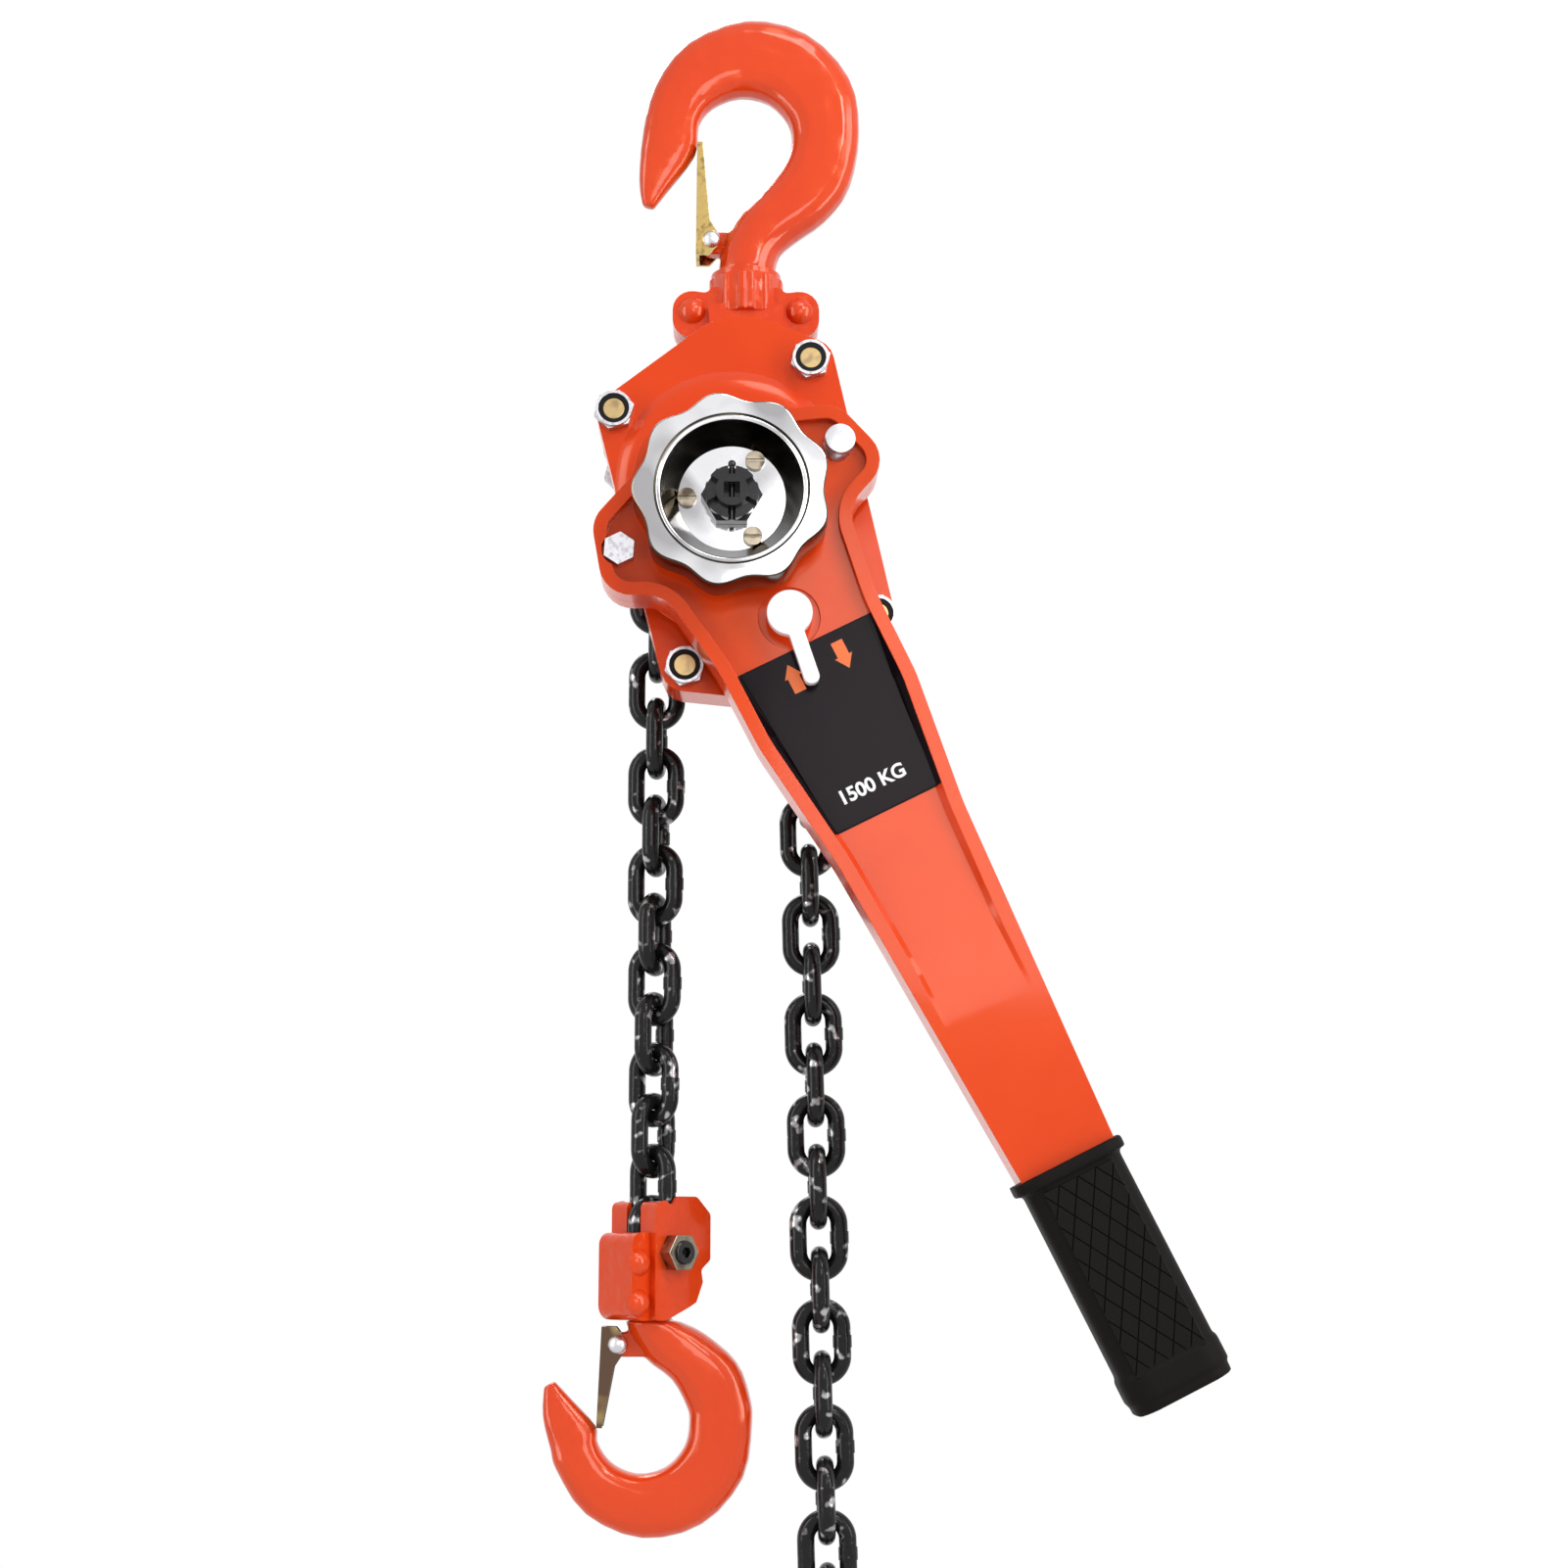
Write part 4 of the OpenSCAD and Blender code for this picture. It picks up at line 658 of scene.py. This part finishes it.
hollow_deep = wheel_back - FLOOR_THICK - wheel_front - GROOVE_DEEP + lip_left
bpy.ops.mesh.extrude_region_move(TRANSFORM_OT_translate={"value": (0, hollow_deep, 0)})
floor_share = FLOOR_RADIUS / HOLLOW_RADIUS
floor_middle = (SHAFT.x, wheel_back - FLOOR_THICK, SHAFT.z)
bpy.ops.transform.resize(value=(floor_share, 1, floor_share), center_override=floor_middle)
print("wheel turned:", len(wheel.data.vertices), "points")

# %% [markdown]
# The lobes come last, which keeps the hollow perfectly round. Points of the rim that stand at the
# same place on their lobe are picked together, and moved out or in from the shaft.

# %% Lobes
LOBE_AT = math.radians(20)
LOBE_HEIGHT = 1.6 * mm
RIM_WITHIN = 0.1 * mm
take_up(wheel)
for step in range(PER_LOBE):
    turn = 2 * math.pi * step / RIM_POINTS

    def on_step(point):
        """The test for points of the rim at this step of their lobe."""
        angle = math.atan2(point.z - SHAFT.z, point.x - SHAFT.x)
        place = round(angle / (2 * math.pi / RIM_POINTS)) % PER_LOBE
        return place == step and from_shaft(point) > WHEEL_RADIUS - RIM_WITHIN

    pick_points(wheel, on_step)
    share = 1 + LOBE_HEIGHT / WHEEL_RADIUS * math.cos(LOBES * (turn - LOBE_AT))
    bpy.ops.transform.resize(value=(share, 1, share),
                             center_override=(SHAFT.x, wheel_middle, SHAFT.z))
    bpy.ops.object.mode_set(mode="OBJECT")
print("lobes:", LOBES, "of", round(LOBE_HEIGHT / mm, 1), "mm")

# %% [markdown]
# The rim is rolled over, so its two outer edges get a round. The groove, the wall of the hollow
# and the side of the rim take a darker chrome colour, painted on as a reflection of the dark
# of the room, with warm patches painted as a reflection of the orange around it.

# %% Wheel edges and chrome
WALL_TEST = 0.5
EDGE_TEST = 0.88
EDGE_ROUND = 0.9 * mm
EDGE_REACH = 2 * mm
LEVEL_WITHIN = 0.01 * mm
SHADE_DEEP = 12.0 * mm
SHADE_PAST = 0.3 * mm
take_up(wheel)
clear_picks("EDGE")
for edge in wheel.data.edges:
    ends = [wheel.data.vertices[i].co for i in edge.vertices]
    level = abs(ends[0].y - ends[1].y) < LEVEL_WITHIN
    edge.select = level and min(map(from_shaft, ends)) > WHEEL_RADIUS - EDGE_REACH
bpy.ops.object.mode_set(mode="EDIT")
bpy.ops.mesh.bevel(offset=EDGE_ROUND, segments=4, affect="EDGES")
bpy.ops.object.mode_set(mode="OBJECT")
settle(wheel, chrome, "chrome", "handwheel", "handwheel", smooth=35)
wheel.data.materials.append(painted_reflection_chrome)
# Painted reflection: faces of the groove, the hollow's wall and the rim's side get the darker
# chrome.
for face in wheel.data.polygons:
    radius, slant = from_shaft(face.center), abs(face.normal.y)
    in_groove = LIP_RADIUS < radius < GROOVE_RADIUS
    on_wall = FLOOR_RADIUS < radius < HOLLOW_RADIUS + SHADE_PAST and slant < WALL_TEST
    near_front = face.center.y < wheel_front + SHADE_DEEP
    on_side = radius > GROOVE_RADIUS and slant < EDGE_TEST and near_front
    face.material_index = 1 if in_groove or on_wall or on_side else 0
print("wheel faces:", len(wheel.data.polygons))

# %% [markdown]
# The lever's own direction: along it towards the grip, and across it to the right. Pieces for
# the lever are laid out upright under the shaft and then swung to the lever's angle in one move.

# %% Lever places
LEVER_ANGLE = math.radians(26.5)
LEVER_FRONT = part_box("lever_front_shell")[0].y
PLATE_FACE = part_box("label_plate")[0].y


def swing(piece, angle):
    """Turns a piece about the shaft."""
    take_up(piece)
    fix_place()
    turned = Matrix.Rotation(angle, 4, "Y")
    piece.matrix_world = Matrix.Translation(SHAFT) @ turned @ Matrix.Translation(-SHAFT)
    fix_place()


def swing_to_lever(piece):
    """From upright to the lever's angle."""
    swing(piece, -LEVER_ANGLE)


def on_lever(along_mm, across_mm, y):
    """A point of the upright lever: along it from the shaft and across it to the right."""
    return Vector((SHAFT.x + across_mm * mm, y, SHAFT.z - along_mm * mm))


print("lever front at y", round(LEVER_FRONT / mm, 1), "mm")

# %% [markdown]
# The front half of the lever is a deep pressing: two rolled rims with a trough between them. The
# copy is swung upright, where its length lies along Z. Below the selector the foot of the
# trough's walls is drawn in to a slope, and then every edge is rolled.

# %% Lever front pressing
TROUGH_DEEP = 4.0 * mm
WALL_FOOT = 0.90
FOOT_FROM = 66
FOOT_WHOLE = 200
FOOT_OUTSIDE = 13 * mm
FOOT_WITHIN = 0.05 * mm
ROLL_MM = 2.2


def upright_place(point):
    """Where a point of the upright lever lies: sideways, forward, and mm along it."""
    return abs(point.x - SHAFT.x), point.y, (SHAFT.z - point.z) / mm


lever_front = joined_copy("lever_front_shell", "lever_front_pressing")
swing(lever_front, LEVER_ANGLE)
trough_floor = LEVER_FRONT + TROUGH_DEEP


def at_wall_foot(point):
    """The test for points where a wall meets the trough's floor, below the selector."""
    across, y, along = upright_place(point)
    beside = along > FOOT_WHOLE or (along > FOOT_FROM and across > FOOT_OUTSIDE)
    return abs(y - trough_floor) < FOOT_WITHIN and beside


pick_points(lever_front, at_wall_foot)
bpy.ops.transform.resize(value=(WALL_FOOT, 1, 1), center_override=SHAFT)
bpy.ops.object.mode_set(mode="OBJECT")
round_edges(lever_front, ROLL_MM, steps=4)
print("lever rims rolled:", len(lever_front.data.polygons), "faces")

# %% [markdown]
# The trough is cut across every few millimetres near its end. Each cut is pushed up a little more
# than the last, along a soft S, so the trough runs out into the flat of the lever.

# %% The trough runs out
RUN_OUT_FROM = 148
RUN_OUT_TO = 228
RUN_OUT_END = 244
RUN_OUT_STEP = 4
FLAT_LEFT = 0.001
FLAT_DEEP = 0.12 * mm
FLAT_ANGLE = math.radians(4)
FLOOR_REACH = 0.3 * mm
CREST_BEND = 200
CREST_ABOVE = (25.2, 0.06)
CREST_BELOW = (22.25, 0.052)
LABEL_FROM = 64.5
LABEL_TO = 139.5


def cut_across(piece, along_mm):
    """Adds a line of points right across the upright lever."""
    take_up(piece)
    bpy.ops.object.mode_set(mode="EDIT")
    bpy.ops.mesh.select_all(action="SELECT")
    bpy.ops.mesh.bisect(plane_co=on_lever(along_mm, 0, 0), plane_no=(0, 0, 1))
    bpy.ops.object.mode_set(mode="OBJECT")


def trough_half(along_mm):
    """Half the distance between the crests of the two rims, which narrow towards the grip."""
    half_mm, taper = CREST_ABOVE if along_mm < CREST_BEND else CREST_BELOW
    return (half_mm - (along_mm - CREST_BEND) * taper) * mm


cuts = range(RUN_OUT_FROM, RUN_OUT_END + 1, RUN_OUT_STEP)
for along_mm in [LABEL_FROM, LABEL_TO, *cuts]:
    cut_across(lever_front, along_mm)
for along_mm in cuts:
    done = min((along_mm - RUN_OUT_FROM) / (RUN_OUT_TO - RUN_OUT_FROM), 1)
    left = 1 - done * done * (3 - 2 * done)

    def at_cut(point):
        """The test for points of the trough that belong to this cut."""
        across, y, along = upright_place(point)
        in_trough = y < trough_floor + FLOOR_REACH and across < trough_half(along)
        return in_trough and abs(along - along_mm) <= RUN_OUT_STEP / 2

    pick_points(lever_front, at_cut)
    bpy.ops.transform.resize(value=(1, max(left, FLAT_LEFT), 1),
                             center_override=(0, LEVER_FRONT, 0))
    bpy.ops.object.mode_set(mode="OBJECT")
pick_faces(lever_front, lambda middle, normal: middle.y < LEVER_FRONT + FLAT_DEEP
           and (SHAFT.z - middle.z) / mm > RUN_OUT_TO)
bpy.ops.mesh.dissolve_limited(angle_limit=FLAT_ANGLE)
bpy.ops.object.mode_set(mode="OBJECT")
swing_to_lever(lever_front)
even_shine(lever_front)
print("trough ends at", RUN_OUT_TO, "mm from the shaft")

# %% [markdown]
# Around the plate the trough is black from wall to wall. Each face is placed by how far it lies
# along the lever, across it, and below its front.

# %% Black band round the plate
BAND_DEEP = 1.1 * mm
BAND_PAST = 0.1 * mm
stand_in(lever_front, "lever_front_shell", pressed_paint)
lever_front.data.materials.append(plate_black)
lever_down = Vector((math.sin(LEVER_ANGLE), 0, -math.cos(LEVER_ANGLE)))
lever_right = Vector((math.cos(LEVER_ANGLE), 0, math.sin(LEVER_ANGLE)))
for face in lever_front.data.polygons:
    place = face.center - SHAFT
    along_mm = place.dot(lever_down) / mm
    across = abs(place.dot(lever_right))
    deep = face.center.y - LEVER_FRONT
    in_trough = BAND_DEEP < deep < TROUGH_DEEP + BAND_PAST and across < trough_half(along_mm)
    face.material_index = 1 if in_trough and LABEL_FROM < along_mm < LABEL_TO else 0
print("black from", LABEL_FROM, "to", LABEL_TO, "mm along the lever")

# %% [markdown]
# Two arrows on the plate say which way each setting pulls. Each is a thin stem whose end is
# widened and drawn out to a point, raised a hair above the plate so that no layers fight.

# %% Arrows on the plate
ARROW_WIDE = 7.6
ARROW_LONG = 12.0
STEM_WIDE = 5.0
HEAD_LONG = 5.4
TIP_SHARE = 0.02
INK = 0.12 * mm
ARROWS = {"arrow_up": (78.0, -9.4, 1), "arrow_down": (72.5, 12.4, -1)}


def arrow(name, along_mm, across_mm, up):
    """An arrow that points up the lever where up is 1, and down it where up is -1."""
    put_down()
    middle = on_lever(along_mm, across_mm, PLATE_FACE - INK / 2)
    bpy.ops.mesh.primitive_cube_add(size=1, location=middle)
    piece = bpy.context.object
    piece.name = name
    stem_long = ARROW_LONG - HEAD_LONG
    piece.scale = (STEM_WIDE * mm, INK, stem_long * mm)
    fix_place()
    pick_faces(piece, lambda centre, normal: normal.z * up > SQUARE_ON)
    top = middle + Vector((0, 0, up * stem_long / 2 * mm))
    bpy.ops.mesh.extrude_region_move(TRANSFORM_OT_translate={"value": (0, 0, 0)})
    bpy.ops.transform.resize(value=(ARROW_WIDE / STEM_WIDE, 1, 1), center_override=top)
    head_move = (0, 0, up * HEAD_LONG * mm)
    bpy.ops.mesh.extrude_region_move(TRANSFORM_OT_translate={"value": head_move})
    bpy.ops.transform.resize(value=(TIP_SHARE, 1, 1), center_override=top)
    bpy.ops.object.mode_set(mode="OBJECT")
    swing_to_lever(piece)
    return settle(piece, arrow_orange, "black_plate", "lever", smooth=20)


for name, (along_mm, across_mm, up) in ARROWS.items():
    arrow(name, along_mm, across_mm, up)
print("arrows:", ", ".join(ARROWS))

# %% [markdown]
# A plain load figure goes under the arrows. The letters start as text, become a mesh before they
# are laid on the plate, and are a hair thick like the arrows.

# %% Load figure
LOAD_WORDS = "1500 KG"
LOAD_SIZE = 8.0 * mm
LOAD_BOLD = 0.22 * mm
LOAD_ALONG = 127.5
LOAD_ACROSS = -1.0
put_down()
bpy.ops.object.text_add(location=(0, 0, 0))
load_mark = bpy.context.object
load_mark.name = "rated_load_mark"
letters = load_mark.data
letters.body = LOAD_WORDS
letters.align_x, letters.align_y = "CENTER", "CENTER"
letters.size, letters.offset, letters.extrude = LOAD_SIZE, LOAD_BOLD, INK / 2
bpy.ops.object.convert(target="MESH")
load_mark = bpy.context.object
load_mark.rotation_euler = (math.radians(90), 0, 0)
load_mark.location = on_lever(LOAD_ALONG, LOAD_ACROSS, PLATE_FACE - INK / 2)
swing_to_lever(load_mark)
settle(load_mark, mark_white, "black_plate", "lever", smooth=20)
print("load mark:", LOAD_WORDS, len(load_mark.data.polygons), "faces")

# %% [markdown]
# The clamp bolt on the right of the lever has a broad flat head with a soft edge.

# %% Flat bolt head
HEAD_RADIUS = 6.3 * mm
HEAD_SOFT = 0.7 * mm
HEAD_SIDES = 48
HEAD_PLACE = Vector((38.0 * mm, 0, -179.5 * mm))
HEAD_FRONT = LEVER_FRONT - 1.2 * mm
HEAD_BACK = LEVER_FRONT + 5.0 * mm
bolt_head = disc("flat_bolt_head", HEAD_RADIUS, HEAD_FRONT, HEAD_BACK, HEAD_SIDES, HEAD_PLACE)
finish_mesh(bolt_head, "BEVEL", width=HEAD_SOFT, segments=3, limit_method="ANGLE")
settle(bolt_head, zinc, "zinc", "lever", smooth=40)
print("flat head", round(2 * HEAD_RADIUS / mm, 1), "mm across")

# %% [markdown]
# The grip is moulded rubber with a collar at each end. Remeshing a copy rounds every edge the
# way a mould does.

# %% Grip
grip_body = forged_copy("grip", "rubber_grip", rubber, skin_mm=0.8, relax=10)
print("grip skin:", len(grip_body.data.polygons), "faces")

# %% [markdown]
# The two broad faces of the grip carry a panel of diamond pads. One flat grid is turned on its
# corner, drawn out into diamonds and trimmed to the panel. Then each pad is inset and raised.

# %% Diamond pads
PAD_LONG = 9.2
PAD_WIDE = 5.6
PANEL_WIDE = 30.0
PANEL_FROM = 300.0
PANEL_TO = 378.0
PANEL_MIDDLE = (PANEL_FROM + PANEL_TO) / 2
PANEL_HALF = (PANEL_TO - PANEL_FROM) / 2
PAD_GROOVE = 0.30 * mm
PAD_RISE = 0.55 * mm
PADS = 16
grip_low, grip_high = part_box("grip")
GRIP_PROUD = 2.0 * mm
face_front = grip_low.y + GRIP_PROUD
face_rear = grip_high.y - GRIP_PROUD


def pad_panel(name, y, outward):
    """A panel of pads at a height y, facing the front where outward is -1."""
    put_down()
    middle = on_lever(PANEL_MIDDLE, 0, y)
    bpy.ops.mesh.primitive_grid_add(x_subdivisions=PADS, y_subdivisions=PADS, size=1,
                                    location=middle, rotation=(math.radians(90), 0, 0))
    piece = bpy.context.object
    piece.name = name
    fix_place()
    bpy.ops.object.mode_set(mode="EDIT")
    bpy.ops.mesh.select_all(action="SELECT")
    bpy.ops.transform.rotate(value=math.radians(45), orient_axis="Y", center_override=middle)
    bpy.ops.transform.resize(value=(PAD_WIDE * mm * PADS, 1, PAD_LONG * mm * PADS),
                             center_override=middle)
    for half_mm, outside in ((PANEL_WIDE / 2, (1, 0, 0)), (PANEL_WIDE / 2, (-1, 0, 0)),
                             (PANEL_HALF, (0, 0, 1)), (PANEL_HALF, (0, 0, -1))):
        bpy.ops.mesh.select_all(action="SELECT")
        bpy.ops.mesh.bisect(plane_co=middle + Vector(outside) * half_mm * mm,
                            plane_no=outside, clear_outer=True)
    bpy.ops.mesh.select_all(action="SELECT")
    bpy.ops.mesh.normals_make_consistent(inside=False)
    if outward * piece.data.polygons[0].normal.y < 0:
        bpy.ops.mesh.flip_normals()
    bpy.ops.mesh.select_all(action="SELECT")
    bpy.ops.mesh.inset(thickness=PAD_GROOVE, depth=PAD_RISE, use_individual=True)
    bpy.ops.object.mode_set(mode="OBJECT")
    swing_to_lever(piece)
    return settle(piece, rubber, "grip_rubber", "lever", smooth=20)


for name, y, outward in (("grip_pads_front", face_front, -1), ("grip_pads_rear", face_rear, 1)):
    panel = pad_panel(name, y, outward)
    print(name, len(panel.data.polygons), "faces")

# %% [markdown]
# Small hardware keeps its shape too and only loses its razor edges.

# %% Hardware
HARDWARE = {
    "top_latch": ("upper_latch", latch_brass, 0.25),
    # The lower latch takes the brass with painted reflection.
    "bottom_latch": ("lower_latch", painted_reflection_brass, 0.25),
    "stay_nuts": ("housing_nuts", dull_zinc, 0.35),
    "stay_bolts": ("housing_stays", yellow_zinc, 0.3),
    "nut_inserts": ("housing_nut_rings", nylon, 0.2),
    "castle_nut": ("slotted_nut", nut_black, 0.4),
    "handwheel_screws": ("wheel_screws", oily_zinc, 0.25),
    "lever_bolts": ("lever_clamp_bolts", dull_zinc, 0.5),
    "anchor_nut": ("lower_yoke_nut", oily_zinc, 0.35),
    "anchor_bolt": ("lower_yoke_bolt", nut_black, 0.3),
    "selector_knob": ("selector", white_enamel, 0.6),
    "label_plate": ("rating_plate", plate_black, 0.2),
}
for node, (name, finish, edge) in HARDWARE.items():
    rounded_copy(node, name, finish, edge)
print(len(HARDWARE), "pieces of hardware rounded")

# %% [markdown]
# Everything else keeps the frame's own mesh and takes a finish in place. A node that a piece now
# stands in for is hidden, so it is passed over.

# %% Finishes on frame pieces
BY_SLOT = {
    "orange_paint": cast_paint, "grip_rubber": rubber, "black_plate": plate_black,
    "zinc": zinc, "brass_zinc": yellow_zinc, "chrome": chrome, "steel": plain_steel,
    "black_steel": chain_black, "nylon": nylon, "lining": lining,
}
BY_NODE = {"pinion_shaft": nut_black, "split_pin": nut_black}
for node, piece in frame["nodes"].items():
    if piece.hide_render:
        continue
    piece.data.materials.clear()
    piece.data.materials.append(BY_NODE.get(node, BY_SLOT[slot_of[node]]))
print("frame pieces finished")

# %% [markdown]
# The light is a plain studio: a soft, even surround, a window of light in front that lays
# a sheen on the lever, a small one each for the hook and the dome, a tall window on each side
# whose reflection runs down every round edge, and a last lamp above and behind for the rims.

# %% Studio
AIM = Vector((20 * mm, 0, -330 * mm))
SOFT_LEVEL = 0.22
RAYS_SEEN = ("Is Camera Ray", "Is Glossy Ray", "Is Transmission Ray")


def softbox(name, place, wide, tall, power):
    """A rectangular lamp that looks at the middle of the hoist."""
    data = bpy.data.lights.new(name, "AREA")
    data.shape = "RECTANGLE"
    data.size = wide
    data.size_y = tall
    data.energy = power
    lamp = bpy.data.objects.new(name, data)
    lamp.location = place
    lamp.rotation_euler = (AIM - Vector(place)).to_track_quat("-Z", "Y").to_euler()
    bpy.context.scene.collection.objects.link(lamp)


def seen_directly(tree):
    """1 for rays from the camera or off a shiny face, 0 for rays that only light things."""
    camera_ray, glossy_ray, clear_ray = (
        Wire(tree).node("ShaderNodeLightPath", output=ray) for ray in RAYS_SEEN)
    return (camera_ray + glossy_ray + clear_ray).clamped()


softbox("front_window", (0.30, -1.35, -0.06), 0.55, 0.45, 3.4)
softbox("hook_window", (0.60, -0.95, 0.50), 0.32, 0.32, 3.8)
softbox("top_window", (0.22, -0.60, 0.75), 0.35, 0.35, 2.6)
softbox("left_window", (-0.95, -0.55, -0.15), 0.35, 1.20, 6)
softbox("right_window", (0.95, -0.60, -0.05), 0.35, 1.20, 7.5)
softbox("rim_lamp", (-0.35, 0.80, 0.80), 0.60, 0.60, 8)

surround = bpy.data.worlds.new("studio_surround")
bpy.context.scene.world = surround
surround.use_nodes = True
sky = surround.node_tree
glow = sky.nodes["Background"]
glow.inputs["Color"].default_value = (1, 1, 1, 1)
wire_to(glow, "Strength", seen_directly(sky) * (1 - SOFT_LEVEL) + SOFT_LEVEL)
print("six lamps and a soft surround of", SOFT_LEVEL)

# %% [markdown]
# The hoist hangs over a pale floor, which sends a little light up under the hooks. Seen straight
# on, the floor glows most of the way to white, so it meets the surround without a line and still
# shows the shadow.

# %% Floor
FLOOR_DROP = 0.075
FLOOR_SIZE = 1.8
FLOOR_GLOW = 0.75
put_down()
bpy.ops.mesh.primitive_plane_add(size=FLOOR_SIZE, location=(0, 0, cad_box[0][2] - FLOOR_DROP))
floor = bpy.context.object
floor.name = "studio_floor"
floor_white = plain("floor_white", (0.90, 0.90, 0.89), 0.9, 40, 0.01)
tree = floor_white.node_tree
lit = Wire(tree, tree.nodes["Principled BSDF"].outputs["BSDF"])
white = lit.node("ShaderNodeEmission", None, {"Color": (1, 1, 1, 1), "Strength": 1.0})
glowing = seen_directly(tree) * FLOOR_GLOW
shown = lit.node("ShaderNodeMixShader", None, {0: glowing, 1: lit, 2: white})
wire_to(tree.nodes["Material Output"], "Surface", shown)
floor.data.materials.append(floor_white)
print("floor at", round(floor.location.z, 3), "m")
